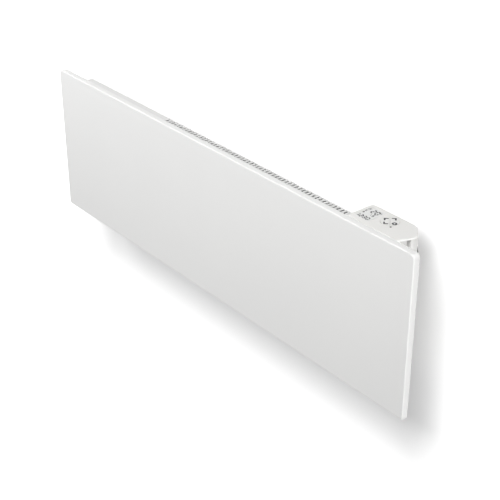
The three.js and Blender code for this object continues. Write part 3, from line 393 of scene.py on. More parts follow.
def powder_group():
    tree, start = shader_group(
        "powder_coat", {"Place": None, "Peel": 700.0}, ("Height", "Tone"))
    peel = noise(tree, start["Place"], start["Peel"], 2.0)
    fine = noise(tree, start["Place"], math_node(tree, "MULTIPLY", start["Peel"], 4.0), 1.0)
    height = math_node(tree, "ADD", peel, math_node(tree, "MULTIPLY", fine, 0.25))
    slow = noise(tree, start["Place"], 5.0, 3.0, 0.55)
    add(tree, "NodeGroupOutput", {"Height": height, "Tone": remapped(tree, slow, 0.3, 0.7)})
    return tree


powder_coat = powder_group()
print(powder_coat.name, len(powder_coat.nodes), "nodes")

# %% Moulded plastic: the fine grain that the eroded tool leaves


def grain_group():
    tree, start = shader_group(
        "moulded_grain", {"Place": None, "Grain": 2600.0}, ("Height", "Tone"))
    cells = add(tree, "ShaderNodeTexVoronoi", {
        "Vector": start["Place"], "Scale": start["Grain"]}, feature="SMOOTH_F1")
    rough = noise(tree, start["Place"], start["Grain"], 2.0)
    height = math_node(tree, "ADD", cells.outputs["Distance"], rough)
    slow = noise(tree, start["Place"], 26.0, 2.0)
    add(tree, "NodeGroupOutput", {"Height": height, "Tone": remapped(tree, slow, 0.3, 0.7)})
    return tree


moulded_grain = grain_group()
print(moulded_grain.name, len(moulded_grain.nodes), "nodes")

# %% Zinc plating: flat crystals with a slightly different sheen each


def spangle_group():
    tree, start = shader_group(
        "zinc_spangle", {"Place": None, "Crystals": 160.0}, ("Tone", "Dullness", "Height"))
    stretch = noise(tree, start["Place"], 60.0, 2.0)
    wobble = add(tree, "ShaderNodeVectorMath", {
        0: start["Place"], 1: math_node(tree, "MULTIPLY", stretch, 0.012)}, operation="ADD")
    cells = add(tree, "ShaderNodeTexVoronoi", {
        "Vector": wobble.outputs["Vector"], "Scale": start["Crystals"]})
    facet = add(tree, "ShaderNodeSeparateColor", {"Color": cells.outputs["Color"]})
    haze = noise(tree, start["Place"], 35.0, 4.0, 0.6)
    dull = math_node(tree, "MULTIPLY", facet.outputs["Green"], haze)
    height = noise(tree, start["Place"], 1500.0, 2.0)
    add(tree, "NodeGroupOutput", {
        "Tone": facet.outputs["Red"], "Dullness": dull, "Height": height})
    return tree


zinc_spangle = spangle_group()
print(zinc_spangle.name, len(zinc_spangle.nodes), "nodes")

# %% Drawn metal: long fine lines


def drawn_group():
    tree, start = shader_group(
        "drawn_lines", {"Place": None, "Lines": 900.0, "Length": 12.0}, ("Height", "Tone"))
    scale = add(tree, "ShaderNodeCombineXYZ", {
        "X": start["Length"], "Y": start["Lines"], "Z": start["Lines"]})
    stretched = add(tree, "ShaderNodeVectorMath", {
        0: start["Place"], 1: scale.outputs["Vector"]}, operation="MULTIPLY")
    lines = noise(tree, stretched.outputs["Vector"], 1.0, 3.0, 0.6)
    add(tree, "NodeGroupOutput", {"Height": lines, "Tone": remapped(tree, lines, 0.25, 0.75)})
    return tree


drawn_lines = drawn_group()
print(drawn_lines.name, len(drawn_lines.nodes), "nodes")

# %% Dust on what faces up, smears where hands have been, and rubbed edges


def handling_group():
    tree, start = shader_group(
        "handling", {"Place": None, "Dust": 0.3, "Smear": 0.3, "Wear": 0.3},
        ("Dust", "Smear", "Wear"))
    surface = add(tree, "ShaderNodeNewGeometry")
    facing = add(tree, "ShaderNodeSeparateXYZ", {"Vector": surface.outputs["Normal"]})
    up = remapped(tree, facing.outputs["Z"], 0.5, 1.0)
    specks = remapped(tree, noise(tree, start["Place"], 1300.0, 3.0, 0.7), 0.52, 0.75)
    drift = remapped(tree, noise(tree, start["Place"], 22.0, 3.0), 0.35, 0.8)
    dust = math_node(tree, "MULTIPLY", math_node(tree, "ADD", specks, drift), up)
    dust = math_node(tree, "MULTIPLY", dust, start["Dust"], True)
    smear = remapped(tree, noise(tree, start["Place"], 40.0, 4.0, 0.65), 0.45, 0.75)
    smear = math_node(tree, "MULTIPLY", smear, start["Smear"], True)
    edge = remapped(tree, surface.outputs["Pointiness"], 0.52, 0.6)
    broken = remapped(tree, noise(tree, start["Place"], 500.0, 3.0, 0.7), 0.35, 0.7)
    wear = math_node(tree, "MULTIPLY", edge, broken)
    wear = math_node(tree, "MULTIPLY", wear, start["Wear"], True)
    add(tree, "NodeGroupOutput", {"Dust": dust, "Smear": smear, "Wear": wear})
    return tree


handling = handling_group()
print(handling.name, len(handling.nodes), "nodes")

# %% [markdown]
# ## Finishes
#
# Each slot of the record gets one material, and the control unit's housing a darker copy of the
# housing plastic, which is painted shade for the shadow under the cap. They are made alike: a group
# gives the small pattern, another gives dust, smears and wear, and both only nudge the colour, the
# roughness and the bump of one plain shader. Paint and plastic are pale here, so the nudges are
# small, as on a new heater.

# %% A material with its shader and its place
MIX_FACTOR, MIX_FIRST, MIX_SECOND = 0, 6, 7  # the mix node's inputs when it mixes colours
MIX_RESULT = 2
DUST = (0.62, 0.61, 0.58)
SMEAR_DULLS = 0.12  # roughness that a full smear adds
DUST_DULLS = 0.3


def new_material(name, **constants):
    made = bpy.data.materials.new(name)
    made.use_nodes = True
    tree = made.node_tree
    tree.nodes.clear()
    shader = add(tree, "ShaderNodeBsdfPrincipled", constants)
    add(tree, "ShaderNodeOutputMaterial", {"Surface": shader.outputs["BSDF"]})
    place = add(tree, "ShaderNodeTexCoord").outputs["Object"]
    return made, tree, shader, place


def group_node(tree, group, inputs):
    return add(tree, "ShaderNodeGroup", inputs, node_tree=group).outputs


def mixed(tree, factor, first, second):
    """A colour between two others, each a socket or red, green and blue."""
    first, second = (value if is_socket(value) else (*value, 1.0) for value in (first, second))
    made = add(tree, "ShaderNodeMix", {
        MIX_FACTOR: factor, MIX_FIRST: first, MIX_SECOND: second}, data_type="RGBA")
    return made.outputs[MIX_RESULT]


def bumped(tree, shader, height, strength, depth):
    bump = add(tree, "ShaderNodeBump", {
        "Height": height, "Strength": strength, "Distance": depth})
    tree.links.new(bump.outputs["Normal"], shader.inputs["Normal"])


def handled(tree, shader, place, colour, roughness, dust, smear, wear=0.0, bare=None):
    """Lays dust, smears and wear over a colour and a roughness, and plugs both in."""
    marks = group_node(tree, handling, {"Place": place, "Dust": dust, "Smear": smear, "Wear": wear})
    if wear > 0:
        colour = mixed(tree, marks["Wear"], colour, bare)
    colour = mixed(tree, marks["Dust"], colour, DUST)
    tree.links.new(colour, shader.inputs["Base Color"])
    smeared = math_node(tree, "MULTIPLY", marks["Smear"], SMEAR_DULLS)
    rough = math_node(tree, "ADD", roughness, smeared)
    dusty = math_node(tree, "MULTIPLY", marks["Dust"], DUST_DULLS)
    rough = math_node(tree, "ADD", rough, dusty, True)
    tree.links.new(rough, shader.inputs["Roughness"])


def patterned(name, group, scales, tones, rough, bump, marks, **constants):
    """A finish whose colour, roughness and bump all follow one group's pattern.

    The tones are a dark and a pale colour, rough is a low and a high value, bump a strength and
    a depth, and marks are the amounts of dust, smear and wear and the bare colour under it.
    """
    made, tree, shader, place = new_material(name, **constants)
    pattern = group_node(tree, group, {"Place": place, **scales})
    colour = mixed(tree, pattern["Tone"], *tones)
    dull = remapped(tree, pattern["Tone"], 0, 1, *rough)
    handled(tree, shader, place, colour, dull, *marks)
    bumped(tree, shader, pattern["Height"], *bump)
    finish[name] = made


print("material helpers ready")

# %% White powder coat on the panel and the casing


def coated(name, pale, grey, peel, strength, dust):
    patterned(name, powder_coat, {"Peel": peel}, (grey, pale), (0.40, 0.48),
              (strength, 0.08 * MM), (dust, 0.3))


coated("front_coat", (0.855, 0.855, 0.845), (0.835, 0.835, 0.828), 650.0, 0.10, 0.05)
coated("casing_coat", (0.80, 0.80, 0.79), (0.77, 0.77, 0.762), 900.0, 0.22, 0.12)
print(sorted(finish))

# %% Zinc-plated sheet and aluminium


def zinc():
    made, tree, shader, place = new_material("zinc_sheet", Metallic=1.0)
    spangle = group_node(tree, zinc_spangle, {"Place": place, "Crystals": 190.0})
    colour = mixed(tree, spangle["Tone"], (0.54, 0.56, 0.58), (0.68, 0.70, 0.72))
    rough = remapped(tree, spangle["Dullness"], 0, 0.6, 0.30, 0.52)
    handled(tree, shader, place, colour, rough, 0.25, 0.4, 0.35, (0.75, 0.76, 0.77))
    bumped(tree, shader, spangle["Height"], 0.12, 0.05 * MM)
    finish["zinc_sheet"] = made


def drawn(name, dark, pale, lines, rough_low, rough_high):
    patterned(name, drawn_lines, {"Lines": lines, "Length": 10.0}, (dark, pale),
              (rough_low, rough_high), (0.2, 0.04 * MM), (0.15, 0.4, 0.2, (0.8, 0.8, 0.8)),
              Metallic=1.0)


zinc()
drawn("aluminium", (0.68, 0.69, 0.70), (0.80, 0.81, 0.82), 900.0, 0.26, 0.42)
drawn("screw_steel", (0.62, 0.63, 0.64), (0.76, 0.77, 0.78), 2500.0, 0.22, 0.34)
print(sorted(finish))

# %% Mouldings: white, black, rubber and ceramic


def moulded(name, dark, pale, grain, strength, rough, dust, *wear):
    patterned(name, moulded_grain, {"Grain": grain}, (dark, pale), (rough, rough + 0.08),
              (strength, 0.05 * MM), (dust, 0.35, *wear))


moulded("housing_plastic", (0.80, 0.795, 0.775), (0.83, 0.825, 0.81), 2600.0, 0.16, 0.42, 0.06)
# A darker copy of the housing plastic: painted shade for the shadow under the control cap, beside
# the panel.
moulded("housing_side", (0.70, 0.695, 0.68), (0.735, 0.73, 0.715), 2600.0, 0.16, 0.46, 0.10)
moulded("key_plastic", (0.80, 0.796, 0.776), (0.83, 0.826, 0.812), 3400.0, 0.08, 0.34, 0.05)
moulded("lens_plastic", (0.795, 0.797, 0.785), (0.825, 0.827, 0.816), 900.0, 0.03, 0.16, 0.04)
moulded("dark_plastic", (0.022, 0.022, 0.025), (0.036, 0.036, 0.04), 2600.0, 0.2, 0.30, 0.08, 0.25,
        (0.10, 0.10, 0.105))
moulded("latch_plastic", (0.035, 0.035, 0.038), (0.055, 0.055, 0.06), 2200.0, 0.3, 0.46, 0.10, 0.3,
        (0.14, 0.14, 0.145))
moulded("rubber", (0.030, 0.030, 0.032), (0.048, 0.048, 0.052), 1600.0, 0.35, 0.72, 0.25)
moulded("ceramic", (0.74, 0.70, 0.60), (0.84, 0.81, 0.73), 1500.0, 0.5, 0.66, 0.1)
moulded("relay_case", (0.045, 0.14, 0.36), (0.065, 0.18, 0.44), 2800.0, 0.1, 0.28, 0.08)
moulded("live_sleeve", (0.16, 0.075, 0.035), (0.22, 0.105, 0.05), 2600.0, 0.08, 0.36, 0.1)
moulded("neutral_sleeve", (0.04, 0.13, 0.36), (0.06, 0.18, 0.46), 2600.0, 0.08, 0.36, 0.1)
print(sorted(finish))

# %% [markdown]
# ## Finishes with a drawn pattern
#
# A circuit board has traces under its green mask, a transformer has copper turns, and the earth
# lead is green with a yellow stripe along it. Each pattern is worked out from the place on the
# piece, so it needs no picture.

# %% Circuit board, winding and earth sleeve


def circuit_board():
    made, tree, shader, place = new_material("circuit_board")
    paths = add(tree, "ShaderNodeTexBrick", {
        "Vector": place, "Scale": 260.0, "Mortar Size": 0.06, "Brick Width": 1.7,
        "Row Height": 0.6, "Color1": (0, 0, 0, 1), "Color2": (0, 0, 0, 1), "Mortar": (1, 1, 1, 1)})
    pads = add(tree, "ShaderNodeTexVoronoi", {"Vector": place, "Scale": 210.0, "Randomness": 0.35})
    dots = remapped(tree, pads.outputs["Distance"], 0.2, 0.17)
    mask = mixed(tree, paths.outputs["Fac"], (0.018, 0.11, 0.045), (0.035, 0.19, 0.075))
    colour = mixed(tree, dots, mask, (0.62, 0.60, 0.52))
    rough = remapped(tree, dots, 0, 1, 0.30, 0.42)
    handled(tree, shader, place, colour, rough, 0.2, 0.2)
    bumped(tree, shader, math_node(tree, "ADD", paths.outputs["Fac"], dots), 0.3, 0.05 * MM)
    finish["circuit_board"] = made


def winding():
    made, tree, shader, place = new_material("winding", Metallic=1.0)
    turns = add(tree, "ShaderNodeTexWave", {
        "Vector": place, "Scale": 420.0, "Distortion": 0.6, "Detail": 1.0},
        bands_direction="Z", wave_profile="SIN")
    colour = mixed(tree, turns.outputs["Fac"], (0.30, 0.11, 0.035), (0.72, 0.34, 0.14))
    rough = remapped(tree, turns.outputs["Fac"], 0, 1, 0.5, 0.3)
    handled(tree, shader, place, colour, rough, 0.1, 0.2)
    bumped(tree, shader, turns.outputs["Fac"], 0.6, 0.2 * MM)
    finish["winding"] = made


def earth_sleeve():
    made, tree, shader, place = new_material("earth_sleeve")
    side = add(tree, "ShaderNodeSeparateXYZ", {
        "Vector": add(tree, "ShaderNodeNewGeometry").outputs["Normal"]})
    stripe = remapped(tree, side.outputs["X"], 0.1, 0.2)
    texture = group_node(tree, moulded_grain, {"Place": place, "Grain": 2600.0})
    colour = mixed(tree, stripe, (0.04, 0.26, 0.06), (0.74, 0.62, 0.05))
    rough = remapped(tree, texture["Tone"], 0, 1, 0.34, 0.44)
    handled(tree, shader, place, colour, rough, 0.1, 0.2)
    bumped(tree, shader, texture["Height"], 0.08, 0.05 * MM)
    finish["earth_sleeve"] = made


circuit_board()
winding()
earth_sleeve()
print(len(finish), "finishes for", len(record["materials"]), "slots")

# %% [markdown]
# ## Print
#
# The marks on the keys and in the display are nearly black. Ink is never quite even: it is a touch
# thinner here and there, and a little duller than the plastic it lies on.

# %% Ink and display segments


def ink_material(name, dark, pale, rough):
    made, tree, shader, place = new_material(name)
    patchy = remapped(tree, noise(tree, place, 2200.0, 3.0, 0.6), 0.3, 0.75)
    tree.links.new(mixed(tree, patchy, dark, pale), shader.inputs["Base Color"])
    tree.links.new(remapped(tree, patchy, 0, 1, rough, rough + 0.1), shader.inputs["Roughness"])
    bumped(tree, shader, patchy, 0.1, 0.01 * MM)
    return made


ink = ink_material("print_ink", (0.010, 0.010, 0.012), (0.030, 0.030, 0.034), 0.5)
segments_black = ink_material("display_black", (0.012, 0.012, 0.016), (0.024, 0.024, 0.03), 0.3)
print(ink.name, segments_black.name)

# %% [markdown]
# ## Camera, room and light
#
# The picture was taken from the right, from above, with a long lens. The room is a white wall at
# y = 0 and a pale floor a metre below. Both look white to the camera through Is Camera Ray and
# still take the heater's soft shadow, and neither throws light back on it: for every other ray,
# and seen from behind, they are clear. On the wall the glow is weaker close to the heater, which
# paints shade around it, so the shadow there is partly cast and partly painted.

# %% Camera at the photograph's angle
CAMERA_SPOT = Vector((1.09828, -0.91700, 0.74085))
VIEW_LINE = Vector((-0.6719, 0.5536, -0.4920))
SENSOR, LENS = 36.0, 85.85  # both in millimetres
camera_data = bpy.data.cameras.new("camera")
camera_data.sensor_width = SENSOR
camera_data.lens = LENS
camera_data.clip_start = 0.05
camera_data.clip_end = 50.0
camera = bpy.data.objects.new("camera", camera_data)
camera.location = CAMERA_SPOT
camera.rotation_mode = "QUATERNION"
camera.rotation_quaternion = VIEW_LINE.to_track_quat("-Z", "Y")
scene.collection.objects.link(camera)
scene.camera = camera
scene.view_settings.view_transform = "Standard"
print("camera", [round(v, 3) for v in CAMERA_SPOT])

# %% White wall and pale floor
# Painted shadow: the wall's glow is weaker inside a rectangle around the heater than outside it.
NEAR_GLOW = 0.25  # strength inside a rectangle around the heater
FAR_GLOW = 0.75  # strength from GLOW_REACH outside it
GLOW_MIDDLE = (-0.036, -0.012)  # the rectangle's middle and half size, as (x, z)
GLOW_HALF = (0.33, 0.205)
GLOW_REACH = 0.12


def backdrop_material(name, colour):
    """Takes light and shadow for the camera, adds a glow, and is clear for every other ray.

    The glow rises away from the heater, so that its soft shadow stays and the rest is white.
    The weaker glow close to the heater is painted shadow: it deepens and shapes the cast one.
    """
    made = bpy.data.materials.new(name)
    made.use_nodes = True
    tree = made.node_tree
    tree.nodes.clear()
    place = add(tree, "ShaderNodeTexCoord").outputs["Object"]
    cloudy = remapped(tree, noise(tree, place, 1.5, 2.0), 0.3, 0.7)
    shade = mixed(tree, cloudy, tuple(0.985 * c for c in colour), colour)
    lit = add(tree, "ShaderNodeBsdfDiffuse", {"Color": shade})
    spot = add(tree, "ShaderNodeSeparateXYZ", {"Vector": place}).outputs
    squares = []
    for axis, middle, half in zip("XZ", GLOW_MIDDLE, GLOW_HALF):
        offset = math_node(tree, "ABSOLUTE", math_node(tree, "SUBTRACT", spot[axis], middle))
        outside = math_node(tree, "MAXIMUM", math_node(tree, "SUBTRACT", offset, half), 0.0)
        squares.append(math_node(tree, "POWER", outside, 2.0))
    away = math_node(tree, "SQRT", math_node(tree, "ADD", *squares))
    # Painted shadow on the wall: the glow climbs from NEAR_GLOW next to the heater to FAR_GLOW.
    level = remapped(tree, away, 0.0, GLOW_REACH, NEAR_GLOW, FAR_GLOW)
    glowing = add(tree, "ShaderNodeEmission", {"Strength": level})
    both = add(tree, "ShaderNodeAddShader", {
        0: lit.outputs["BSDF"], 1: glowing.outputs["Emission"]})
    clear = add(tree, "ShaderNodeBsdfTransparent")
    path = add(tree, "ShaderNodeLightPath")
    side = add(tree, "ShaderNodeNewGeometry").outputs["Backfacing"]
    front = math_node(tree, "SUBTRACT", 1.0, side)
    seen = math_node(tree, "MULTIPLY", path.outputs["Is Camera Ray"], front)
    mix = add(tree, "ShaderNodeMixShader", {
        0: seen, 1: clear.outputs["BSDF"], 2: both.outputs["Shader"]})
    add(tree, "ShaderNodeOutputMaterial", {"Surface": mix.outputs["Shader"]})
    return made


def stage_plane(name, corners, material):
    work = bmesh.new()
    work.faces.new([work.verts.new(corner) for corner in corners])
    plane = object_from(name, work)
    plane.data.materials.append(material)
    return plane


WALL_Y = 0.0004
FLOOR_Z, CEILING_Z = -1.0, 5.0
ROOM_HALF = 6.0
wall = stage_plane("room_wall", [
    (-ROOM_HALF, WALL_Y, FLOOR_Z), (ROOM_HALF, WALL_Y, FLOOR_Z),
    (ROOM_HALF, WALL_Y, CEILING_Z), (-ROOM_HALF, WALL_Y, CEILING_Z)],
    backdrop_material("wall_white", (0.95, 0.95, 0.95)))
floor = stage_plane("room_floor", [
    (-ROOM_HALF, -ROOM_HALF, FLOOR_Z), (ROOM_HALF, -ROOM_HALF, FLOOR_Z),
    (ROOM_HALF, ROOM_HALF, FLOOR_Z), (-ROOM_HALF, ROOM_HALF, FLOOR_Z)],
    backdrop_material("floor_pale", (0.95, 0.95, 0.94)))
print("room", wall.name, floor.name)

# %% World and softboxes


def make_world(strength):
    world = bpy.data.worlds.new("room_light")
    scene.world = world
    world.use_nodes = True
    tree = world.node_tree
    tree.nodes.clear()
    path = add(tree, "ShaderNodeLightPath")
    seen = math_node(tree, "ADD", path.outputs["Is Camera Ray"], path.outputs["Is Glossy Ray"])
    seen = math_node(tree, "ADD", seen, path.outputs["Is Transmission Ray"], True)
    level = remapped(tree, seen, 0, 1, strength, 1.0)
    back = add(tree, "ShaderNodeBackground", {"Color": (1, 1, 1, 1), "Strength": level})
    add(tree, "ShaderNodeOutputWorld", {"Surface": back.outputs["Background"]})


def softbox(name, spot, aim, size, power):
    """A round lamp so many metres across and so many watts strong, turned towards its aim."""
    lamp = bpy.data.lights.new(name, "AREA")
    lamp.shape = "DISK"
    lamp.size = size
    lamp.energy = power
    holder = bpy.data.objects.new(name, lamp)
    holder.location = spot
    holder.rotation_mode = "QUATERNION"
    holder.rotation_quaternion = (Vector(aim) - Vector(spot)).to_track_quat("-Z", "Y")
    scene.collection.objects.link(holder)


WORLD_STRENGTH = 0.26
make_world(WORLD_STRENGTH)
softbox("key_light", (0.55, -1.25, 1.42), (0, 0, 0), 0.95, 25.0)
softbox("left_light", (-0.75, -0.8, 0.75), (-0.25, 0, 0.03), 0.5, 6.0)
softbox("right_light", (1.9, -0.08, -0.1), (0.36, -0.08, -0.04), 0.3, 15.0)
softbox("top_light", (-0.1, -0.4, 1.6), (-0.1, -0.07, 0.1), 0.8, 0.8)
softbox("rear_light", (-0.3, 1.7, 0.05), (0, 0, 0), 1.3, 4.0)

# %% [markdown]
# ## Front panel
#
# The real front is one pressed tray of steel sheet: a flat face, an edge folded back all round, and
# a soft radius between them. Lofting one rounded rectangle through a profile of insets and depths
# gives that shape with even normals, which a bevelled box wouldn't at the corners.

# %% The tray, lofted through its profile
EDGE_ROUND = 1.5 * MM
UPPER_CORNER = 6 * MM
LOWER_CORNER = 2 * MM
SHEET = 1.5 * MM
LEAST_CORNER = 0.35 * MM
LIP_ROUND = 0.4 * MM
FOLD_ROUND = 0.3 * MM
FACE_INSET = 14 * MM  # the last ring on each side of the face
EVEN_RING = 0.5 * MM  # a ring beside the rounded edge, so that its shading stays off the face


def tray_profile(depth):
    """(inset, depth) from the middle of the face, over the edge and back inside."""
    outside = [(EDGE_ROUND - EDGE_ROUND * math.sin(math.radians(a)),
                EDGE_ROUND - EDGE_ROUND * math.cos(math.radians(a))) for a in range(0, 91, 9)]
    lip = arc((LIP_ROUND, depth - LIP_ROUND), LIP_ROUND, 180, 90, 3)
    lip += arc((SHEET - LIP_ROUND, depth - LIP_ROUND), LIP_ROUND, 90, 0, 3)
    face = [(FACE_INSET, 0), (EDGE_ROUND + EVEN_RING, 0)]
    inside = [(SHEET, SHEET + FOLD_ROUND), (SHEET + FOLD_ROUND, SHEET), (FACE_INSET, SHEET)]
    return face + outside + lip + inside


def build_front_panel():
    low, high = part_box("front_panel")
    half_x = (high.x - low.x) / 2
    half_z = (high.z - low.z) / 2
    rings = []
    for inset, depth in tray_profile(high.y - low.y):
        upper = max(UPPER_CORNER - inset, LEAST_CORNER)
        lower = max(LOWER_CORNER - inset, LEAST_CORNER)
        outline = rounded_rectangle(half_x - inset, half_z - inset, upper, 8, lower)
        rings.append([(x, low.y + depth, z) for x, z in outline])
    return smoothed(loft("panel_tray", rings), 50)


front_panel = claim(build_front_panel(), "front_panel")
print("panel", len(front_panel.data.polygons), "faces")

# %% [markdown]
# ## Rear casing
#
# Behind the panel a channel of thinner sheet closes the heater. Its top has a long row of short
# round-ended slots where the warm air leaves, its underside has a wider row that lets cool air in.
# The channel is one profile pulled along X, and a Geometry Nodes row punches the slots.

# %% The channel's profile, pulled along X
CASING_SHEET = 1 * MM
CASING_BEND = 4 * MM
FLANGE_BEND = 1.6 * MM


def casing_profile(front, back, half, flange):
    """The channel as (y, z) points: flange, top, rear wall, bottom, flange, and back inside."""
    bend, sheet = CASING_BEND, CASING_SHEET
    inner_fold = FLANGE_BEND - sheet
    turn = arc((front + sheet + inner_fold, half + inner_fold), inner_fold, 180, 270, 4)
    top = [(front, flange), (front + sheet, flange)] + turn
    top += arc((back - bend, half - bend), bend, 90, 0, 9)
    inner = arc((back - bend, half - bend), bend - sheet, 0, 90, 9)
    fold = arc((front + FLANGE_BEND, half - sheet + FLANGE_BEND), FLANGE_BEND, 270, 180, 5)
    outside = top + [(y, -z) for y, z in reversed(top)]
    inside = inner + fold
    return outside + [(y, -z) for y, z in reversed(inside)] + inside


casing_low, casing_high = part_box("rear_casing")
CASING_TOP = 95 * MM
profile = casing_profile(casing_low.y, casing_high.y, CASING_TOP, casing_high.z)
casing = loft("casing_shell", [
    [(x, y, z) for y, z in profile] for x in (casing_low.x, casing_high.x)])
print("profile", len(profile), "points")

# %% Tools for the slots and the holes


def slot_tool(name, width, length, low, high):
    """A round-ended slot along Y, centred on the origin."""
    half = width / 2
    outline = arc((0, length / 2 - half), half, 0, 180, 8)
    outline += arc((0, half - length / 2), half, 180, 360, 8)
    return prism(name, [outline], low, high)


def hole_tool(name, radius, x, z, front, back, steps=24):
    """A round hole along Y."""
    tool = prism(name, [arc((0, 0), radius, 0, 360, steps)[:-1]], front, back)
    upright = Matrix.Translation((x, 0, z)) @ Matrix.Rotation(math.radians(-90), 4, "X")
    return placed(tool, upright)


SLOT_PITCH = 6.16 * MM
SLOT_COUNT = 60
FRONT_MARGIN, REAR_MARGIN = 2.4 * MM, 4 * MM  # sheet left beside the slots' ends
END_MARGIN = 7.76 * MM  # the casing's right end to the last slot's middle
OUTLET_WIDTH, INLET_WIDTH = 3 * MM, 4 * MM
REACH = 2 * MM  # how far a tool passes through the sheet on either side
slot_front = casing_low.y + CASING_SHEET + FRONT_MARGIN
slot_rear = casing_high.y - REAR_MARGIN
slot_last = casing_high.x - END_MARGIN
slot_first = slot_last - SLOT_PITCH * (SLOT_COUNT - 1)
slot_y = (slot_front + slot_rear) / 2
slot_length = slot_rear - slot_front
outlet_tool = slot_tool("outlet_tool", OUTLET_WIDTH, slot_length, -REACH, REACH)
inlet_tool = slot_tool("inlet_tool", INLET_WIDTH, slot_length, -REACH, REACH)
print("slots from", round(slot_first / MM, 2), "to", round(slot_last / MM, 2))

# %% Punch both rows
run_tree(casing, punched_row, {
    "Tool": outlet_tool, "First": (slot_first, slot_y, CASING_TOP - CASING_SHEET / 2),
    "Pitch": SLOT_PITCH, "Count": SLOT_COUNT, "Material": finish["casing_coat"]})
run_tree(casing, punched_row, {
    "Tool": inlet_tool, "First": (slot_first + SLOT_PITCH, slot_y, CASING_SHEET / 2 - CASING_TOP),
    "Pitch": 2 * SLOT_PITCH, "Count": SLOT_COUNT // 2, "Material": finish["casing_coat"]})

# %% Cut the hook openings, the latch holes and the screw holes
HOOK_HALF = 1 * MM  # half the thickness of an upright
HOOK_SLOT_HALF = 1.6 * MM
HOOK_SLOT_LOW, HOOK_SLOT_HIGH = 23.4 * MM, 44 * MM
LATCH_RADIUS = 6 * MM
LATCH_HOLE = 3.9 * MM
LATCH_HEIGHT = -75 * MM
SCREW_HOLE = 2.2 * MM


def bored(piece, tools):
    """Cuts each tool out of the piece, then throws the tools away."""
    for tool in tools:
        cut = piece.modifiers.new("cut", "BOOLEAN")
        cut.operation = "DIFFERENCE"
        cut.solver = "EXACT"
        cut.object = tool
    settled(piece)
    for tool in tools:
        bpy.data.objects.remove(tool)


def box_tool(name, low, high):
    outline = [(low[0], low[1]), (high[0], low[1]), (high[0], high[1]), (low[0], high[1])]
    return prism(name, [outline], low[2], high[2])


hook_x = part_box("bracket_upright_right")[1].x - HOOK_HALF
latch_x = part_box("turn_latch_right")[0].x + LATCH_RADIUS
screw_boxes = {name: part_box(name) for name in nodes if name.startswith("casing_screw")}
rear_from, rear_to = casing_high.y - CASING_SHEET - REACH, casing_high.y + REACH
tools = []
for side in (-1, 1):
    tools.append(box_tool(
        "hook_tool", (side * hook_x - HOOK_SLOT_HALF, rear_from, HOOK_SLOT_LOW),
        (side * hook_x + HOOK_SLOT_HALF, rear_to, HOOK_SLOT_HIGH)))
    tools.append(hole_tool(
        "latch_tool", LATCH_HOLE, side * latch_x, LATCH_HEIGHT, rear_from, rear_to, 32))
for low, high in screw_boxes.values():
    middle = (low + high) / 2
    tools.append(hole_tool(
        "screw_tool", SCREW_HOLE, middle.x, middle.z, casing_low.y - 1 * MM, casing_low.y + REACH))
bored(casing, tools)
rear_casing = claim(rounded_edges(casing, 0.18 * MM, 2, 50), "rear_casing")
for tool in (outlet_tool, inlet_tool):
    bpy.data.objects.remove(tool)
print("casing", len(rear_casing.data.polygons), "faces")

# %% [markdown]
# ## Pieces that keep their solid's shape
#
# Many parts are right as they are and only miss the small radius that every real edge has, because
# light catches on it. For these a clean copy of the solid gets a narrow bevel, and the flats keep
# even normals.

# %% Sheet metal, mouldings and small parts
KEPT_SHAPES = {
    0.30: ["bracket_upright_left", "bracket_upright_right", "bracket_crossbar", "panel_rail_upper",
           "panel_rail_lower", "end_plate_left", "end_plate_right", "element_bracket_left",
           "element_bracket_right", "cord_clamp", "glide_pad_left", "glide_pad_right"],
    0.12: ["heat_shield", "key_board", "power_board", "flex_lead"],
    0.25: ["heating_element", "thermal_cutout", "display_module", "key_mat", "relay", "transformer",
           "filter_capacitor", "terminal_block", "air_sensor", "status_light_pipe"],
    0.35: ["control_housing", "turn_latch_left", "turn_latch_right", "switch_body"],
}
# The control housing takes the darker copy of its plastic, painted shade for the shadow under the
# cap.
PAINTED_SHADE_FINISH = {"control_housing": "housing_side"}
for width, group in KEPT_SHAPES.items():
    for node in group:
        piece = rounded_edges(clean_copy(node, f"{node}_finished"), width * MM)
        claim(piece, node, finish_name=PAINTED_SHADE_FINISH.get(node))
print("kept shapes", sum(len(group) for group in KEPT_SHAPES.values()))

# %% Round parts and leads, smooth without a bevel
SMOOTH_SHAPES = [
    "element_bush_left", "element_bush_right", "passage_bush", "cord_gland", "element_lead_left",
    "element_lead_right", "cutout_lead", "earth_lead", "earth_screw"]
for node in SMOOTH_SHAPES:
    claim(smoothed(clean_copy(node, f"{node}_finished"), 40), node)
print("smooth shapes", len(SMOOTH_SHAPES))

# %% [markdown]
# ## Control unit
#
# The control unit's cap is a thin plate with a soft edge. Four keys fill a round opening, a clear
# window covers the display, and a small dark dot is the end of a light pipe.

# %% Cap, window and keys
claim(rounded_edges(clean_copy("control_cap", "cap"), 0.08 * MM, 2, 40), "control_cap")
claim(rounded_edges(clean_copy("display_lens", "display_window"), 0.2 * MM, 3), "display_lens")
KEYS = ["key_ok", "key_up", "key_back", "key_down"]
for node in KEYS:
    claim(rounded_edges(clean_copy(node, f"{node}_top"), 0.09 * MM, 2), node)
claim(rounded_edges(clean_copy("switch_rocker", "rocker"), 0.5 * MM, 3, 40), "switch_rocker")
print("keys", len(KEYS))

# %% Marks on the keys: three arrow heads and a ring
MARK_THICKNESS = 0.03 * MM
MARK_SINK = 0.005 * MM  # how far a mark reaches below the surface it lies on
key_boxes = [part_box(node) for node in KEYS]
pad_low = Vector([min(low[i] for low, high in key_boxes) for i in range(3)])
pad_high = Vector([max(high[i] for low, high in key_boxes) for i in range(3)])
pad = (pad_low + pad_high) / 2
PAD_TOP = pad_high.z
TIPS = {"key_up": 10.6 * MM, "key_back": 9.9 * MM, "key_down": 10.8 * MM}
ARM = 5.4 * MM
STROKE = 1.9 * MM
RING_INNER, RING_OUTER = 1.2 * MM, 3.1 * MM
RING_SPOT = (pad.x + 7.8 * MM, pad.y - 0.7 * MM, PAD_TOP)


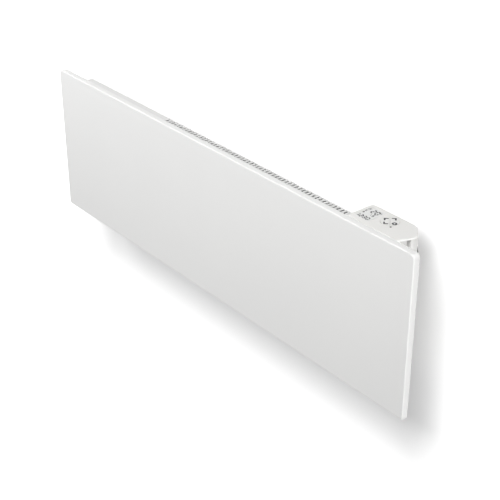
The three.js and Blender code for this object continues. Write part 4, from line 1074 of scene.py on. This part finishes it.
def arrow_head(direction, tip):
    """An L with its tip pointing outwards, as one outline."""
    diagonal = math.sqrt(0.5)
    flat = [(0, 0), (-ARM * diagonal, ARM * diagonal)]
    inner = STROKE * diagonal
    flat.append((-ARM * diagonal - inner, ARM * diagonal - inner))
    flat.append((-2 * inner, 0))
    flat += [(x, -y) for x, y in reversed(flat[1:3])]
    turn = Matrix.Rotation(direction, 2)
    points = [turn @ Vector((x + tip, y)) for x, y in flat]
    return [(pad.x + point.x, pad.y + point.y) for point in points]


def mark_on(node, name, outlines, height, look):
    add_on(prism(name, outlines, height - MARK_SINK, height + MARK_THICKNESS), node, look)


for node, turns in (("key_up", 1), ("key_back", 2), ("key_down", 3)):
    outline = arrow_head(turns * math.pi / 2, TIPS[node])
    mark_on(node, f"{node}_mark", [outline], PAD_TOP, ink)

ring_profile = [(RING_INNER, -MARK_SINK), (RING_INNER, MARK_THICKNESS),
                (RING_OUTER, MARK_THICKNESS), (RING_OUTER, -MARK_SINK)]
ring = lathe("key_ok_mark", ring_profile, 40)
add_on(placed(ring, Matrix.Translation(RING_SPOT)), "key_ok", ink)
print("marks on the keys, middle", [round(v / MM, 1) for v in pad])

# %% [markdown]
# ## Display
#
# The display shows a temperature, two small numbers, a clock and four small signs. The figures
# are plain seven-segment ones, so each is a choice among the same seven bars.

# %% Seven-segment figures
SEGMENTS = {
    "a": ((0, 1), (1, 1)), "b": ((1, 1), (1, 0.5)), "c": ((1, 0.5), (1, 0)), "d": ((0, 0), (1, 0)),
    "e": ((0, 0.5), (0, 0)), "f": ((0, 1), (0, 0.5)), "g": ((0, 0.5), (1, 0.5))}
FIGURES = {"0": "abcdef", "1": "bc", "2": "abged", "3": "abgcd", "5": "afgcd", "8": "abcdefg"}


def bar(start, end, width):
    """A bar with pointed ends, as the segments of such a figure have."""
    start, end = Vector(start), Vector(end)
    along = (end - start).normalized()
    across = Vector((-along.y, along.x)) * width / 2
    gap = along * width * 0.12
    tip = along * width / 2
    first, last = start + gap, end - gap
    points = [first, first + tip + across, last - tip + across, last, last - tip - across,
              first + tip - across]
    return [(point.x, point.y) for point in points]


def figure(text, corner, width, height, stroke, gap):
    """Outlines for a row of figures, from the left; a colon stands in the gap before it."""
    outlines = []
    x, foot = corner
    for sign in text:
        if sign == ":":
            for share in (0.3, 0.7):
                outlines.append(arc((x - gap / 2, foot + height * share), stroke * 0.5, 0, 330, 8))
            continue
        for name in FIGURES[sign]:
            start, end = ((x + across * width, foot + up * height) for across, up in SEGMENTS[name])
            outlines.append(bar(start, end, stroke))
        x += width + gap
    return outlines


window_low, window_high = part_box("display_lens")
WINDOW_TOP = window_high.z
WINDOW_MARGIN = 1.5 * MM
left, front = window_low.x + WINDOW_MARGIN, window_low.y + WINDOW_MARGIN


def row(text, right, back, width, height, stroke, gap):
    """Figures so many millimetres right of and behind the window's front left corner."""
    corner = (left + right * MM, front + back * MM)
    return figure(text, corner, width * MM, height * MM, stroke * MM, gap * MM)


signs = row("20", 7.2, 16.2, 3.8, 7.4, 1.7, 2.3)
signs += row("1", 11.2, 10.2, 1.6, 3.4, 1.2, 1.1)
signs += row("5", 15, 10.2, 2.6, 3.6, 1.2, 1.1)
signs += row("12:30", -0.4, -0.2, 3.1, 5.9, 1.6, 2.1)
print("figures", len(signs), "bars")

# %% Small signs: a degree ring, a sun, a moon and a drop


def ring_outlines(centre, inner, outer, parts=8):
    """A ring as a few closed wedges, because a prism has no hole."""
    wedges = []
    for i in range(parts):
        start, end = 360 * i / parts, 360 * (i + 1) / parts
        wedges.append(arc(centre, outer, start, end, 3) + arc(centre, inner, end, start, 3))
    return wedges


def sun(centre, radius):
    rays = []
    for i in range(8):
        angle = i * math.pi / 4
        out = Vector((math.cos(angle), math.sin(angle)))
        middle = Vector(centre)
        rays.append(bar(middle + out * radius * 0.7, middle + out * radius * 1.35, radius * 0.34))
    return rays + [arc(centre, radius * 0.48, 0, 330, 11)]


def moon(centre, radius):
    outer = arc(centre, radius, 60, 300, 14)
    inner = arc((centre[0] + radius * 0.55, centre[1]), radius * 0.87, 270, 92, 12)
    return [outer + inner]


def drop(centre, radius):
    round_part = arc(centre, radius * 0.72, 150, 390, 12)
    return [round_part + [(centre[0], centre[1] + radius * 1.35)]]


column = left + 1.6 * MM
signs += ring_outlines((left + 18.6 * MM, front + 22.6 * MM), 0.5 * MM, 1.1 * MM)
signs += sun((column, front + 21.8 * MM), 1.9 * MM)
signs += moon((column + 0.4 * MM, front + 16.2 * MM), 1.9 * MM)
signs += drop((column, front + 11.0 * MM), 1.7 * MM)
mark_on("display_lens", "display_signs", signs, WINDOW_TOP, segments_black)
print("display signs", len(signs))

# %% [markdown]
# ## Casing screws
#
# Six pan-head screws hold the casing, the heat shield and the panel rails together. One screw is
# turned on a lathe profile and gets a cross recess. Geometry Nodes puts it on six points and
# gives each copy its own turn, as a screwdriver leaves them.

# %% One screw, then six
HEAD_RADIUS = 3.6 * MM
HEAD_HEIGHT = 2.2 * MM
SHANK = 1.8 * MM
CORE = SHANK * 0.82
SCREW_LENGTH = 7 * MM
THREAD_TURNS = 12
THREAD_START, THREAD_STOP = 1.2 * MM, 0.5 * MM  # from the screw's end, and from the head
CREST = 0.24 * MM
CROSS_WIDTH, CROSS_REACH, CROSS_DEPTH = 0.42 * MM, 1.7 * MM, 1.1 * MM


def screw_tool():
    dome = [(HEAD_RADIUS * math.cos(math.radians(a)),
             HEAD_HEIGHT * (0.35 + 0.65 * math.sin(math.radians(a)))) for a in range(0, 90, 10)]
    thread = []
    threaded = SCREW_LENGTH - THREAD_START - THREAD_STOP
    for i in range(THREAD_TURNS):
        level = -SCREW_LENGTH + THREAD_START + threaded * i / THREAD_TURNS
        thread += [(CORE, level), (SHANK, level + CREST)]
    profile = [(0, -SCREW_LENGTH), (SHANK * 0.45, -SCREW_LENGTH)] + thread
    profile += [(CORE, -0.3 * MM), (SHANK, 0), (HEAD_RADIUS * 0.98, 0)] + dome
    profile += [(0, HEAD_HEIGHT)]
    screw = lathe("screw_tool", profile, 24)
    cross = []
    for half_x, half_y in ((CROSS_REACH, CROSS_WIDTH), (CROSS_WIDTH, CROSS_REACH)):
        cross.append(box_tool(
            "cross_tool", (-half_x, -half_y, HEAD_HEIGHT - CROSS_DEPTH),
            (half_x, half_y, HEAD_HEIGHT + 1 * MM)))
    bored(screw, cross)
    return placed(screw, Matrix.Rotation(math.radians(-90), 4, "X"))


screw = screw_tool()
seats = []
for low, high in screw_boxes.values():
    middle = (low + high) / 2
    seats.append((middle.x, high.y - HEAD_HEIGHT, middle.z))
screws = run_tree(points_object("casing_screws", seats), copies_on_points, {
    "Tool": screw, "Axis": (0.0, 1.0, 0.0), "Turn": math.pi, "Seed": 4,
    "Material": finish["screw_steel"]})
bpy.data.objects.remove(screw)
claim(smoothed(screws, 40), *screw_boxes)

# %% Every solid has its finished piece
print("plain solids left:", [name for name, node in nodes.items() if not node.hide_render])
